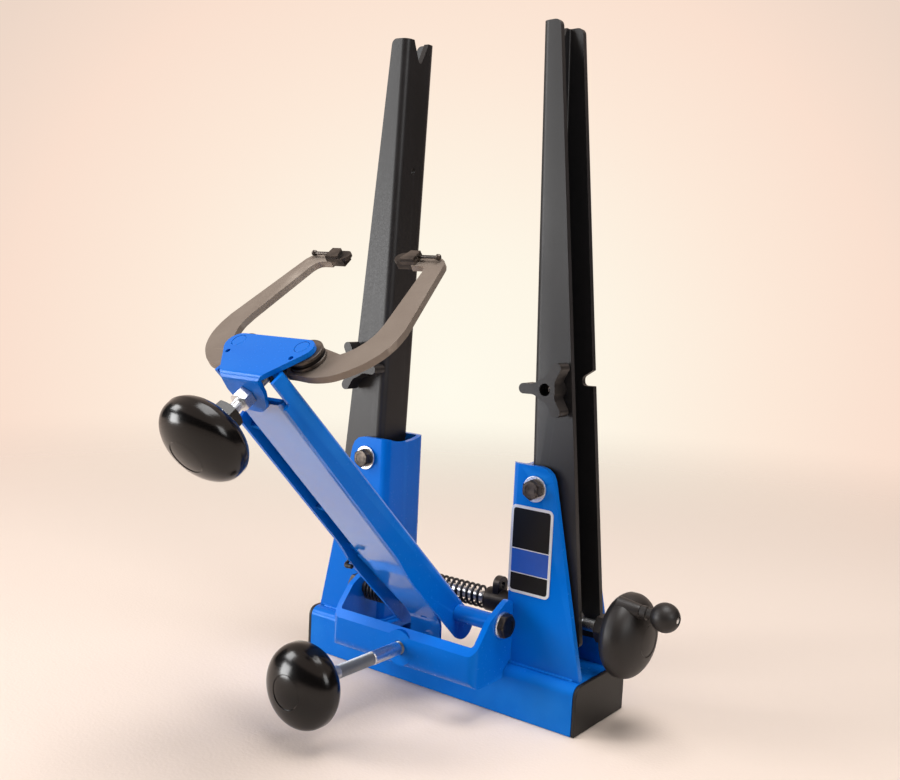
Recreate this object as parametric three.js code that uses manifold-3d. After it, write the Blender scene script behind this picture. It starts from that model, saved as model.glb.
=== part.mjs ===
// Bicycle wheel truing stand, in millimetres, with +Z up and the wheel's axle along X.
// The origin is on the bottom edge of the base's front wall, at mid length.
import * as THREE from 'three';
import { mergeVertices } from 'three/addons/utils/BufferGeometryUtils.js';
import Module from 'manifold-3d';

const wasm = await Module();
wasm.setup();

// Clearances and one overrun for all cuts
const seatGap = 0.3;
const holeClearance = 0.4;
const overrun = 1;

// Base channel, with a mouth in the middle where the wheel's rim can drop in
const baseLength = 277;
const baseDepth = 76.6;
const baseHeight = 38.4;
const baseFrontY = -2.5;
const baseWall = 6.3;
const baseBend = 8;
const capThickness = 3;
const capPlugDepth = 9;
const capPlugWall = 2.5;

// The plane through the middle of both uprights
const wheelPlaneY = 33.5;

// Housings that stand on the base and carry the uprights
const housingInset = 75;
const housingWebX = baseLength / 2 - housingInset;
const mouthInset = 7.5;
const baseMouth = 2 * (housingWebX - mouthInset);
const housingWall = 4.8;
const housingBend = 7;
const housingDepth = 51.5;
const housingTopZ = 197.8;
const housingFootWidth = 71.2;
const housingTopWidth = 37;
const housingCorner = 13;
const housingDip = 3.6;

// Uprights, which lean inwards at the top
const leanDegrees = 1.95;
const uprightPivotOut = 22.9;
const uprightPivotX = housingWebX + uprightPivotOut;
const uprightPivotDrop = 17.7;
const uprightPivotZ = housingTopZ - uprightPivotDrop;
const uprightReach = 352.4;
const uprightTailRise = 21.5;
const uprightTail = uprightPivotZ - baseHeight - uprightTailRise;
const uprightDepth = 37.6;
const uprightWall = 4.8;
const uprightBend = 6;
const uprightWebInset = 9.3;
const uprightTopWidth = 16.1;
const uprightFootWidth = 48.4;
const uprightCorner = 5;
const notchWidth = 18.8;
const notchDepth = 21;
const notchRound = 2.5;
const sightHoleRadius = 2.4;
const sightHoleRise = 246;
const hookRise = 85;
const hookHeight = 13.3;
const hookDepth = 9.5;
const hookRound = 3.2;

// Upright pivots
const pivotBoltRadius = 4;
const pivotHeadFlats = 14;
const pivotHeadHeight = 5.5;
const pivotWasherRadius = 10.2;
const pivotWasherThickness = 1.6;
const pivotNutHeight = 6.5;
const pivotThreadEnd = 2;
const pivotSpacerRadius = 8;

// Adjusting screw through both uprights, its trunnions, bearing sleeve, spring and knob
const screwZ = 76;
const screwRadius = 4.75;
const screwLeftOut = 46.5;
const screwLeftEnd = housingWebX + screwLeftOut;
const trunnionShift = 29.4;
const trunnionOut = housingWebX + trunnionShift;
const trunnionRadius = 6.6;
const trunnionPinRadius = 4;
const trunnionBoreClearance = 1;
const webSlotHalfWidth = 6.6;
const webSlotHalfHeight = 9;
const sleeveRadius = 10;
const sleeveLength = 32.2;
const sleeveStart = housingWebX - sleeveLength;
const sleeveFlangeRadius = 15;
const sleeveFlangeThickness = 3.2;
const sleeveBoreClearance = 0.5;
const lugInset = 21.5;
const lugX = housingWebX - lugInset;
const lugThickness = 6;
const lugRise = 14;
const lugRadius = 7;
const lugHoleRadius = 2.6;
const collarInset = 17.5;
const collarX = housingWebX - collarInset;
const collarThickness = 6;
const collarRadius = 9.5;
const springOuterRadius = 9.5;
const springWireRadius = 1.15;
const springPitch = 5.5;
const jamNutOut = 51.5;
const jamNutX = housingWebX + jamNutOut;
const jamNutHeight = 6;
const jamNutFlats = 15;
const sideKnobOut = 95.1;
const sideKnobRimX = housingWebX + sideKnobOut;
const sideKnobRadius = 32.5;

// Round mushroom knobs
const knobRadius = 31.5;
const knobDome = 20;
const knobBack = 13;
const knobEdge = 4;
const knobHubFlats = 20;
const knobHubLength = 11;
const knobHubRadius = 12;
const knobBoreDepth = 14;

// Crank on the side knob
const crankRadius = 27;
const crankAngleDegrees = 115;
const crankStubRadius = 5.2;
const crankStubTopRadius = 4.2;
const crankStubLength = 19;
const crankBallRadius = 11;
const crankPinRadius = 2.5;
const crankBossRise = 16;
const crankSocketDepth = 9;

// Caliper bracket in front of the base
const bracketOverlap = 9;
const bracketWidth = 2 * (housingWebX + bracketOverlap);
const bracketWall = 5;
const bracketBend = 7;
const bracketFrontY = -43.5;
const bracketBottomZ = 29;
const bracketLipZ = 55;
const bracketShoulderY = -23.5;
const bracketShoulderZ = 79;
const bracketPeakY = 0.4;
const bracketPeakZ = 91.5;
const bracketPeakRound = 7;
const bracketRearFootZ = 41;
const bracketCorner = 9;
const bumpRise = 4.7;

// Arm pivot
const armPivotY = -7.5;
const armPivotZ = 73;
const armBoltRadius = 4.5;
const armBoltHeadFlats = 17;
const armBoltHeadHeight = 6.5;
const armNutHeight = 8;
const armThreadEnd = 2.5;
const spacerRadius = 6.8;
const springSleeveRadius = 6.2;
const armSpringOuterRadius = 10;
const armSpringWireRadius = 1.3;
const armSpringPitch = 3.8;
const armSpringLegReach = 76;

// Arm, in its own frame: x across, c from front to rear, u up the arm
const armLeanDegrees = 46.5;
const armHalfWidth = 30;
const armWall = 2.7;
const armBend = 5;
const armFrontC = -11;
const armRearC = 11;
const armBulgeC = -15;
const armBulgeReach = 60;
const armStraightReach = 112;
const armFootReach = 14;
const armWebStart = 24;
const armWebEnd = 250;
const armTopFrontC = -6;
const armNotchReach = 264.5;
const armNotchC = -2;
const armWindowHalf = 17;
const innerHalfWidth = 22.5;
const innerWall = 2.5;
const innerBend = 4;
const innerDepth = 8;
const innerFrontC = -3.5;
const innerBendReach = 78;
const rungReach = 44;
const rungTopInset = 32;
const rungHeight = 3;
const tailFaceOut = 3;
const tailHalfWidth = 15;
const tailBendZ = 61;
const tailEndZ = 39.8;
const tailSlotHalfWidth = 3;
const tailSlotHeight = 1.6;
const tailSlotRise = 5;
const tailBendRadius = 10;
const tailShoulderReach = 36;
const lugTabReach = 84;
const lugTabRadius = 8.5;

// Lower screw, which pushes the arm's tail
const radialZ = 45.5;
const radialRadius = 5.3;
const radialKnobY = -148.5;
const radialPadRadius = 4.5;
const radialPadThickness = 4;
const radialNose = 2.4;
const radialPadStem = 3;
const radialPadStemRadius = 2.6;
const radialNutFlats = 17;
const radialNutHeight = 9;

// Head plate, in its own frame: s across, r rearwards up the slope, n out of the plate
const headPitchDegrees = 36;
const headC = 31.1;
const headReach = 282.9;
const innerTopDrop = 18.9;
const innerTop = headReach - innerTopDrop;
const headThickness = 3.5;
const jawPivotSpread = 29.5;
const headRear = 7.5;
const headHalfWidth = 39.5;
const headCornerRadius = 9;
const headFront = 34;
const headFrontHalfWidth = 17;
const headFrontRadius = 3;
const headBend = 5;
const tabBottomRadius = 10.5;
const tabDepth = 30;
const tabShoulder = 13;
const tabWall = 3;
const dimpleRadius = 1.9;
const dimpleBack = 11.6;

// Jaws and what moves them
const jawTopN = -11.5;
const jawThickness = 9;
const jawSpread = 55.5;
const jawReach = 120;
const jawHubFront = 14.5;
const jawHubRear = 11.6;
const jawLever = 16;
const jawLeverFace = 7;
const jawLeverRear = 5;
const jawLeverFlat = 2.6;
const jawPinRadius = 5.2;
const jawPinHeadRadius = 8;
const jawPinHeadHeight = 3;
const jawWasherRadius = 13;
const caliperScrewRadius = 4;
const caliperKnobR = -75.7;
const caliperNutFlats = 13;
const caliperNutHeight = 8;
const pusherHalfWidth = 15;
const pusherLength = 9;
const pusherHeight = 8;
const tipInner = 22;
const tipOuter = 42;
const tipR = 115.2;
const tipHalfDepth = 5.5;
const tipThickness = 5;
const tipNoseDrop = 4;
const tipNoseEnd = 32.5;
const tipStepS = 28;
const tipStepHeight = 2.2;
const tipSocketS = 33;
const tipPinEnd = 59;
const tipPinRadius = 1.2;
const tipPinBallRadius = 2.4;
const tipPinBack = 1.5;

// Three-armed clamp knobs on the uprights' front flanges
const clampRise = 77.7;
const clampOut = 11.6;
const clampReach = 23;
const clampArmHalfWidth = 4;
const clampThickness = 13;
const clampHubRadius = 9;
const clampHubThickness = 16;
const clampRecessRadius = 4.8;
const clampRecessDepth = 9;
const clampStudRadius = 2.6;
const clampNutFlats = 9;
const clampNutHeight = 4;
const clampThreadEnd = 1;

// Facets of round things
const roundSides = 28;
const smallSides = 20;
const knobSides = 36;
const cornerStep = Math.PI / 8;
const springSteps = 8;
const springSides = 5;
const curveSteps = 8;
const dipSteps = 10;
const armSideSteps = 12;
const tailSteps = 10;
const jawSteps = 4;
const knobBackSteps = 4;
const knobDomeSteps = 6;
const crankBallSteps = 9;
const radialNoseSteps = 5;
const springLegSteps = 16;

const finish = {
  blue: [0x0a6fc8, 0.32, 0.1],
  black: [0x1c1c1e, 0.45, 0.1],
  plastic: [0x19191b, 0.5, 0],
  steel: [0xb9bbbd, 0.3, 0.9],
  dark: [0x2e2c2a, 0.5, 0.6],
  jaw: [0x6e6760, 0.5, 0.5],
  brass: [0xb08d4a, 0.4, 0.8],
};

const stand = new THREE.Group();

// Shapes become closed solids, and solids become meshes again

function solidOf(geometry) {
  const bare = geometry.clone();
  bare.deleteAttribute('normal');
  bare.deleteAttribute('uv');
  const merged = mergeVertices(bare);
  const corners = merged.index.array;
  const triangles = [];
  for (let i = 0; i < corners.length; i += 3) {
    const [a, b, c] = corners.slice(i, i + 3);
    if (a !== b && b !== c && c !== a) triangles.push(a, b, c);
  }
  return new wasm.Manifold(new wasm.Mesh({
    numProp: 3,
    vertProperties: Float32Array.from(merged.attributes.position.array),
    triVerts: Uint32Array.from(triangles),
  }));
}

function addPiece(name, solid, look, parent = stand) {
  const mesh = solid.getMesh();
  const geometry = new THREE.BufferGeometry();
  geometry.setAttribute('position', new THREE.BufferAttribute(Float32Array.from(mesh.vertProperties), 3));
  geometry.setIndex(new THREE.BufferAttribute(Uint32Array.from(mesh.triVerts), 1));
  geometry.computeVertexNormals();
  const [color, roughness, metalness] = look;
  const piece = new THREE.Mesh(geometry, new THREE.MeshStandardMaterial({ color, roughness, metalness }));
  piece.name = name;
  parent.add(piece);
}

// An outline's two coordinates are the two axes that follow its own in the order x, y, z,
// but across y they are x and z.
const layOut = {
  x: new THREE.Matrix4().makeBasis(
    new THREE.Vector3(0, 1, 0), new THREE.Vector3(0, 0, 1), new THREE.Vector3(1, 0, 0)),
  y: new THREE.Matrix4().makeBasis(
    new THREE.Vector3(1, 0, 0), new THREE.Vector3(0, 0, 1), new THREE.Vector3(0, -1, 0)),
  z: new THREE.Matrix4(),
};

function prism(axis, outline, from, to, curveSegments = curveSteps) {
  const depth = to - from;
  const geometry = new THREE.ExtrudeGeometry(outline, { depth, bevelEnabled: false, curveSegments });
  geometry.applyMatrix4(layOut[axis]);
  if (axis === 'x') geometry.translate(from, 0, 0);
  if (axis === 'y') geometry.translate(0, to, 0);
  if (axis === 'z') geometry.translate(0, 0, from);
  return solidOf(geometry);
}

function block(x0, x1, y0, y1, z0, z1) {
  const geometry = new THREE.BoxGeometry(x1 - x0, y1 - y0, z1 - z0);
  geometry.translate((x0 + x1) / 2, (y0 + y1) / 2, (z0 + z1) / 2);
  return solidOf(geometry);
}

function turnTo(geometry, axis) {
  if (axis === 'x') geometry.rotateZ(-Math.PI / 2);
  if (axis === 'z') geometry.rotateX(Math.PI / 2);
  return geometry;
}

// A round bar along an axis, with its centre line through the two other coordinates
function bar(axis, radius, from, to, centre = [0, 0], sides = roundSides) {
  const geometry = turnTo(new THREE.CylinderGeometry(radius, radius, to - from, sides), axis);
  const middle = (from + to) / 2;
  if (axis === 'x') geometry.translate(middle, centre[0], centre[1]);
  if (axis === 'y') geometry.translate(centre[0], middle, centre[1]);
  if (axis === 'z') geometry.translate(centre[0], centre[1], middle);
  return solidOf(geometry);
}

function hexagon(axis, flats, from, to, centre = [0, 0]) {
  return bar(axis, flats / Math.sqrt(3), from, to, centre, 6);
}

function ring(axis, outer, inner, from, to, centre = [0, 0], sides = roundSides) {
  const hole = bar(axis, inner, from - overrun, to + overrun, centre, sides);
  return bar(axis, outer, from, to, centre, sides).subtract(hole);
}

// A turned shape from points of radius and place along its axis, first and last on the axis
function turned(axis, points, centre, sides = knobSides) {
  const profile = points.map(([radius, along]) => new THREE.Vector2(radius, along));
  const geometry = turnTo(new THREE.LatheGeometry(profile, sides), axis);
  if (axis === 'x') geometry.translate(0, centre[0], centre[1]);
  if (axis === 'y') geometry.translate(centre[0], 0, centre[1]);
  if (axis === 'z') geometry.translate(centre[0], centre[1], 0);
  return solidOf(geometry);
}

// Two places in rising order
function between(a, b) {
  return [Math.min(a, b), Math.max(a, b)];
}

function outlineOf(points) {
  return new THREE.Shape(points.map(([a, b]) => new THREE.Vector2(a, b)));
}

// A closed outline of straight sides whose corners [a, b, radius] are rounded
function roundedOutline(corners) {
  const count = corners.length;
  const points = corners.flatMap(([a, b, radius = 0], i) => {
    const here = new THREE.Vector2(a, b);
    const toBefore = new THREE.Vector2(...corners[(i + count - 1) % count].slice(0, 2)).sub(here);
    const toAfter = new THREE.Vector2(...corners[(i + 1) % count].slice(0, 2)).sub(here);
    if (radius === 0) return [[a, b]];
    const half = Math.abs(toBefore.angleTo(toAfter)) / 2;
    const reach = Math.min(radius / Math.tan(half), toBefore.length() / 2, toAfter.length() / 2);
    const start = here.clone().addScaledVector(toBefore.normalize(), reach);
    const middle = toBefore.clone().add(toAfter.normalize()).setLength(reach / Math.cos(half)).add(here);
    const sweep = Math.sign(toAfter.cross(toBefore)) * (Math.PI - 2 * half);
    const steps = Math.max(2, Math.round(Math.abs(sweep) / cornerStep));
    return Array.from({ length: steps + 1 }, (_, k) => (
      start.clone().rotateAround(middle, (sweep * k) / steps).toArray()));
  });
  return outlineOf(points);
}

// Corners of a folded channel's section: its web lies along b and its two sides run towards +a
function channelCorners(width, halfSpan, wall, bend) {
  const inner = Math.max(bend - wall, 0);
  return [
    [width, halfSpan], [0, halfSpan, bend], [0, -halfSpan, bend], [width, -halfSpan],
    [width, wall - halfSpan], [wall, wall - halfSpan, inner],
    [wall, halfSpan - wall, inner], [width, halfSpan - wall],
  ];
}

// A wire that follows a centre line of points, as one closed tube
function wire(points, radius, sides = springSides) {
  const count = points.length;
  const positions = [];
  const index = [];
  let normal = new THREE.Vector3(0, 0, 1);
  points.forEach((point, i) => {
    const ahead = points[Math.min(i + 1, count - 1)];
    const behind = points[Math.max(i - 1, 0)];
    const tangent = ahead.clone().sub(behind).normalize();
    normal = normal.clone().addScaledVector(tangent, -normal.dot(tangent)).normalize();
    const across = new THREE.Vector3().crossVectors(tangent, normal);
    for (let k = 0; k < sides; k += 1) {
      const angle = (2 * Math.PI * k) / sides;
      const spot = point.clone()
        .addScaledVector(normal, radius * Math.cos(angle))
        .addScaledVector(across, radius * Math.sin(angle));
      positions.push(spot.x, spot.y, spot.z);
    }
  });
  for (let i = 0; i + 1 < count; i += 1) {
    for (let k = 0; k < sides; k += 1) {
      const a = i * sides + k;
      const b = i * sides + ((k + 1) % sides);
      index.push(a, b, b + sides, a, b + sides, a + sides);
    }
  }
  for (let k = 1; k + 1 < sides; k += 1) {
    const last = (count - 1) * sides;
    index.push(0, k + 1, k, last, last + k, last + k + 1);
  }
  const geometry = new THREE.BufferGeometry();
  geometry.setAttribute('position', new THREE.Float32BufferAttribute(positions, 3));
  geometry.setIndex(index);
  return solidOf(geometry);
}

// The least space between stretches of a wire that are more than half a curl apart
function leastGap(points, radius) {
  let least = Infinity;
  for (let i = 0; i < points.length; i += 1) {
    for (let j = i + springSteps / 2 + 1; j < points.length; j += 1) {
      const a = new THREE.Line3(points[i], points[Math.min(i + 1, points.length - 1)]);
      const near = a.closestPointToPoint(points[j], true, new THREE.Vector3());
      least = Math.min(least, near.distanceTo(points[j]) - 2 * radius);
    }
  }
  return least;
}

// A coil along X between two places, with its ends turned straight along the axis
function coilPoints(radius, wireRadius, pitch, from, to) {
  const straight = 2 * wireRadius;
  const length = to - from - 2 * straight;
  const steps = Math.round((length / pitch) * springSteps);
  const at = (share, x) => {
    const angle = (2 * Math.PI * share * steps) / springSteps;
    return new THREE.Vector3(x, radius * Math.cos(angle), radius * Math.sin(angle));
  };
  const points = [at(0, from)];
  for (let i = 0; i <= steps; i += 1) {
    points.push(at(i / steps, from + straight + (length * i) / steps));
  }
  points.push(at(1, to));
  return points;
}

// Base

const baseRearY = baseFrontY + baseDepth;
const baseTopZ = baseHeight;
const baseEnd = baseLength / 2 - capThickness - seatGap;

function baseOutline(inset, bend) {
  return roundedOutline([
    [baseFrontY + inset, 0], [baseFrontY + inset, baseHeight - inset, bend],
    [baseRearY - inset, baseHeight - inset, bend], [baseRearY - inset, 0],
  ]);
}

function baseChannel() {
  const outer = prism('x', baseOutline(0, baseBend), -baseEnd, baseEnd);
  const hollow = prism('x', baseOutline(baseWall, baseBend - baseWall),
    -baseEnd - overrun, baseEnd + overrun);
  const below = block(-baseEnd - overrun, baseEnd + overrun, baseFrontY + baseWall, baseRearY - baseWall,
    -overrun, baseHeight / 2);
  const mouth = block(-baseMouth / 2, baseMouth / 2, baseFrontY + baseWall, baseRearY + overrun,
    -overrun, baseHeight + overrun);
  return outer.subtract(hollow).subtract(below).subtract(mouth);
}

function endCap(side) {
  const face = side * (baseLength / 2);
  const back = side * (baseLength / 2 - capThickness);
  const deep = side * (baseLength / 2 - capThickness - capPlugDepth);
  const plate = prism('x', baseOutline(0, baseBend), ...between(face, back));
  const plugOutline = (inset) => roundedOutline([
    [baseFrontY + inset, inset], [baseFrontY + inset, baseHeight - inset, baseBend - baseWall],
    [baseRearY - inset, baseHeight - inset, baseBend - baseWall], [baseRearY - inset, inset],
  ]);
  const plugInset = baseWall + seatGap;
  const middle = (back + face) / 2;
  const plug = prism('x', plugOutline(plugInset), ...between(middle, deep));
  const hollow = prism('x', plugOutline(plugInset + capPlugWall), ...between(back, deep - side * overrun));
  return plate.add(plug.subtract(hollow));
}

// Housings

const housingFootZ = baseTopZ + seatGap;
const housingFrontY = wheelPlaneY - housingDepth / 2;
const housingRearY = wheelPlaneY + housingDepth / 2;

function housing(side) {
  const section = roundedOutline(
    channelCorners(housingFootWidth + overrun, housingDepth / 2, housingWall, housingBend)
      .map(([a, b, radius]) => [side * (housingWebX + a), wheelPlaneY + b, radius]));
  const folded = prism('z', section, housingFootZ, housingTopZ);
  const outline = roundedOutline([
    [side * (housingWebX - overrun), housingFootZ - overrun],
    [side * (housingWebX + housingFootWidth), housingFootZ - overrun],
    [side * (housingWebX + housingTopWidth), housingTopZ, housingCorner],
    [side * (housingWebX - overrun), housingTopZ],
  ]);
  const profile = prism('y', outline, housingFrontY - overrun, housingRearY + overrun);
  const halfOpen = housingDepth / 2 - housingWall;
  const dip = new THREE.Shape();
  dip.moveTo(wheelPlaneY - halfOpen, housingTopZ + overrun);
  dip.lineTo(wheelPlaneY - halfOpen, housingTopZ);
  dip.quadraticCurveTo(wheelPlaneY, housingTopZ - 2 * housingDip, wheelPlaneY + halfOpen, housingTopZ);
  dip.lineTo(wheelPlaneY + halfOpen, housingTopZ + overrun);
  const webFaces = between(side * (housingWebX - overrun), side * (housingWebX + housingWall + overrun));
  const dipCut = prism('x', dip, ...webFaces, dipSteps);
  const screwHole = bar('x', screwRadius + trunnionBoreClearance, ...webFaces, [wheelPlaneY, screwZ],
    smallSides);
  const boltHole = bar('y', pivotBoltRadius + holeClearance, housingFrontY - overrun,
    housingRearY + overrun, [side * uprightPivotX, uprightPivotZ], smallSides);
  return folded.intersect(profile).subtract(dipCut).subtract(screwHole).subtract(boltHole);
}

// Uprights. Their own frame has its origin on the pivot's axis, z up the upright and x across.

const lean = THREE.MathUtils.degToRad(leanDegrees);
const halfUpright = uprightDepth / 2;
const uprightTaperShare = (uprightFootWidth - uprightTopWidth) / (uprightReach + uprightTail);

// Where a place in the stand lies in the right upright's own frame, as [outwards, up]
function inUpright(x, z) {
  const dx = x - uprightPivotX;
  const dz = z - uprightPivotZ;
  return [dx * Math.cos(lean) + dz * Math.sin(lean), dz * Math.cos(lean) - dx * Math.sin(lean)];
}

function flangeEdge(rise) {
  return uprightTopWidth - uprightWebInset + (uprightReach - rise) * uprightTaperShare;
}

function upright(side) {
  const section = roundedOutline(
    channelCorners(uprightFootWidth + overrun, halfUpright, uprightWall, uprightBend)
      .map(([a, b, radius]) => [side * (a - uprightWebInset), b, radius]));
  const folded = prism('z', section, -uprightTail, uprightReach);
  const outline = roundedOutline([
    [-side * (uprightWebInset + overrun), -uprightTail],
    [side * flangeEdge(-uprightTail), -uprightTail, uprightCorner],
    [side * flangeEdge(uprightReach), uprightReach, uprightCorner],
    [-side * (uprightWebInset + overrun), uprightReach],
  ]);
  const profile = prism('y', outline, -halfUpright - overrun, halfUpright + overrun);
  const across = between(-side * (uprightWebInset + overrun), side * uprightTopWidth);
  const notch = prism('x', roundedOutline([
    [-notchWidth / 2, uprightReach + overrun], [-notchWidth / 2, uprightReach, notchRound],
    [0, uprightReach - notchDepth, notchRound],
    [notchWidth / 2, uprightReach, notchRound], [notchWidth / 2, uprightReach + overrun],
  ]), ...across);
  const sightHole = bar('x', sightHoleRadius, ...across, [0, sightHoleRise], smallSides);
  const [screwOut, screwRise] = inUpright(trunnionOut, screwZ);
  const slotEnd = webSlotHalfHeight - webSlotHalfWidth;
  const webAcross = between(
    -side * (uprightWebInset + overrun), side * (overrun - uprightWebInset + uprightWall));
  const slot = block(...webAcross, -webSlotHalfWidth, webSlotHalfWidth,
    screwRise - slotEnd, screwRise + slotEnd)
    .add(bar('x', webSlotHalfWidth, ...webAcross, [0, screwRise - slotEnd], smallSides))
    .add(bar('x', webSlotHalfWidth, ...webAcross, [0, screwRise + slotEnd], smallSides));
  const through = [-halfUpright - overrun, halfUpright + overrun];
  const boltHole = bar('y', pivotBoltRadius + holeClearance, ...through, [0, 0], smallSides);
  const trunnionHole = bar('y', trunnionPinRadius + holeClearance, ...through,
    [side * screwOut, screwRise], smallSides);
  const studHole = bar('y', clampStudRadius + holeClearance, -halfUpright - overrun, 0,
    [side * clampOut, clampRise], smallSides);
  const hookLow = hookRise - hookHeight / 2;
  const hookEdge = flangeEdge(hookRise);
  const hook = prism('y', roundedOutline([
    [side * (hookEdge + overrun), hookLow],
    [side * (hookEdge - hookDepth), hookLow, hookRound],
    [side * (hookEdge - hookDepth), hookLow + hookHeight / 2, hookRound],
    [side * (hookEdge + overrun), hookLow + hookHeight],
  ]), 0, halfUpright + overrun);
  return [notch, sightHole, slot, boltHole, trunnionHole, studHole, hook]
    .reduce((whole, cut) => whole.subtract(cut), folded.intersect(profile));
}

// Pivot bolts and their washers, nuts and spacers

const washerFrontY = housingFrontY - seatGap - pivotWasherThickness;

function pivotBolt(centre) {
  const headBackY = washerFrontY - seatGap;
  const end = housingRearY + seatGap + pivotNutHeight + pivotThreadEnd;
  const shank = bar('y', pivotBoltRadius, headBackY - pivotHeadHeight / 2, end, centre, smallSides);
  return hexagon('y', pivotHeadFlats, headBackY - pivotHeadHeight, headBackY, centre).add(shank);
}

function pivotNut(centre) {
  const from = housingRearY + seatGap;
  const to = from + pivotNutHeight;
  const thread = bar('y', pivotBoltRadius + seatGap, from - overrun, to + overrun, centre, smallSides);
  return hexagon('y', pivotHeadFlats, from, to, centre).subtract(thread);
}

function pivotWasher(centre) {
  return ring('y', pivotWasherRadius, pivotBoltRadius + holeClearance, washerFrontY,
    housingFrontY - seatGap, centre);
}

// The spacer between a housing's side and an upright's, in front for -1 and behind for 1
function pivotSpacer(end, centre) {
  const faces = between(
    wheelPlaneY + end * (housingDepth / 2 - housingWall - seatGap),
    wheelPlaneY + end * (halfUpright + seatGap));
  return ring('y', pivotSpacerRadius, pivotBoltRadius + holeClearance, ...faces, centre);
}

// Adjusting screw and what it carries or passes through

function trunnion(side) {
  const centre = [side * trunnionOut, screwZ];
  const half = halfUpright - uprightWall - seatGap;
  const pinHalf = halfUpright - seatGap;
  const body = bar('y', trunnionRadius, wheelPlaneY - half, wheelPlaneY + half, centre);
  const pins = bar('y', trunnionPinRadius, wheelPlaneY - pinHalf, wheelPlaneY + pinHalf, centre, smallSides);
  const reach = trunnionRadius + overrun;
  const bore = bar('x', screwRadius + trunnionBoreClearance, side * trunnionOut - reach,
    side * trunnionOut + reach, [wheelPlaneY, screwZ], smallSides);
  return body.add(pins).subtract(bore);
}

const sideHubX = sideKnobRimX - knobBack - knobHubLength;

function adjustingScrew() {
  return bar('x', screwRadius, -screwLeftEnd, sideHubX + knobBoreDepth - seatGap, [wheelPlaneY, screwZ],
    smallSides);
}

function bearingSleeve() {
  const centre = [wheelPlaneY, screwZ];
  const end = housingWebX - seatGap;
  const bore = bar('x', screwRadius + sleeveBoreClearance, sleeveStart - overrun, end + overrun, centre,
    smallSides);
  const lugCentre = [wheelPlaneY, screwZ + lugRise];
  const lugFaces = [lugX - lugThickness / 2, lugX + lugThickness / 2];
  const lug = block(...lugFaces, wheelPlaneY - lugRadius, wheelPlaneY + lugRadius, screwZ + sleeveRadius / 2,
    screwZ + lugRise)
    .add(bar('x', lugRadius, ...lugFaces, lugCentre));
  const lugHole = bar('x', lugHoleRadius, lugFaces[0] - overrun, lugFaces[1] + overrun, lugCentre,
    smallSides);
  return bar('x', sleeveRadius, sleeveStart, end, centre)
    .add(bar('x', sleeveFlangeRadius, end - sleeveFlangeThickness, end, centre))
    .add(lug).subtract(bore).subtract(lugHole);
}

function springCollar() {
  return ring('x', collarRadius, screwRadius + seatGap, -collarX - collarThickness, -collarX,
    [wheelPlaneY, screwZ]);
}

function adjustingSpring() {
  const radius = springOuterRadius - springWireRadius;
  const points = coilPoints(radius, springWireRadius, springPitch, seatGap - collarX, sleeveStart - seatGap)
    .map((point) => point.add(new THREE.Vector3(0, wheelPlaneY, screwZ)));
  console.log('adjusting spring, least gap', leastGap(points, springWireRadius).toFixed(2));
  return wire(points, springWireRadius);
}

function jamNut() {
  const faces = [jamNutX - jamNutHeight / 2, jamNutX + jamNutHeight / 2];
  const thread = bar('x', screwRadius + seatGap, faces[0] - overrun, faces[1] + overrun,
    [wheelPlaneY, screwZ], smallSides);
  return hexagon('x', jamNutFlats, ...faces, [wheelPlaneY, screwZ]).subtract(thread);
}

// A mushroom knob. Its dome faces along the axis for 1 and against it for -1.
function mushroom(axis, facing, rimAt, radius, shaftRadius, centre) {
  const points = [[0, -knobBack], [knobHubRadius, -knobBack]];
  const back = new THREE.QuadraticBezierCurve(
    new THREE.Vector2(knobHubRadius, -knobBack), new THREE.Vector2(radius - knobEdge, -knobBack),
    new THREE.Vector2(radius, -knobEdge / 2));
  for (let i = 1; i <= knobBackSteps; i += 1) points.push(back.getPoint(i / knobBackSteps).toArray());
  for (let i = 0; i < knobDomeSteps; i += 1) {
    const angle = (Math.PI / 2) * (i / knobDomeSteps);
    points.push([radius * Math.cos(angle), knobEdge / 2 + (knobDome - knobEdge / 2) * Math.sin(angle)]);
  }
  points.push([0, knobDome]);
  const at = (along) => rimAt + facing * along;
  const placed = points.map(([r, along]) => [r, at(along)]);
  const hubEnd = -knobBack - knobHubLength;
  const shell = turned(axis, facing > 0 ? placed : placed.reverse(), centre);
  const hub = hexagon(axis, knobHubFlats, ...between(at(hubEnd), at(knobEdge / 2 - knobBack)), centre);
  const bore = bar(axis, shaftRadius + seatGap, ...between(at(hubEnd - overrun), at(hubEnd + knobBoreDepth)),
    centre, smallSides);
  return shell.add(hub).subtract(bore);
}

// Crank

const crankAngle = THREE.MathUtils.degToRad(crankAngleDegrees);
const crankCentre = [
  wheelPlaneY + crankRadius * Math.cos(crankAngle), screwZ + crankRadius * Math.sin(crankAngle)];
const crankBossX = sideKnobRimX + crankBossRise;
const crankPinEnd = crankBossX + seatGap + crankStubLength;

function sideKnob() {
  const boss = bar('x', crankStubRadius, sideKnobRimX, crankBossX, crankCentre, smallSides);
  const socket = bar('x', crankPinRadius + seatGap, crankBossX - crankSocketDepth, crankBossX + overrun,
    crankCentre, smallSides);
  return mushroom('x', 1, sideKnobRimX, sideKnobRadius, screwRadius, [wheelPlaneY, screwZ])
    .add(boss).subtract(socket);
}

function crankPin() {
  return bar('x', crankPinRadius, crankBossX - crankSocketDepth + seatGap, crankPinEnd, crankCentre,
    smallSides);
}

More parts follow.
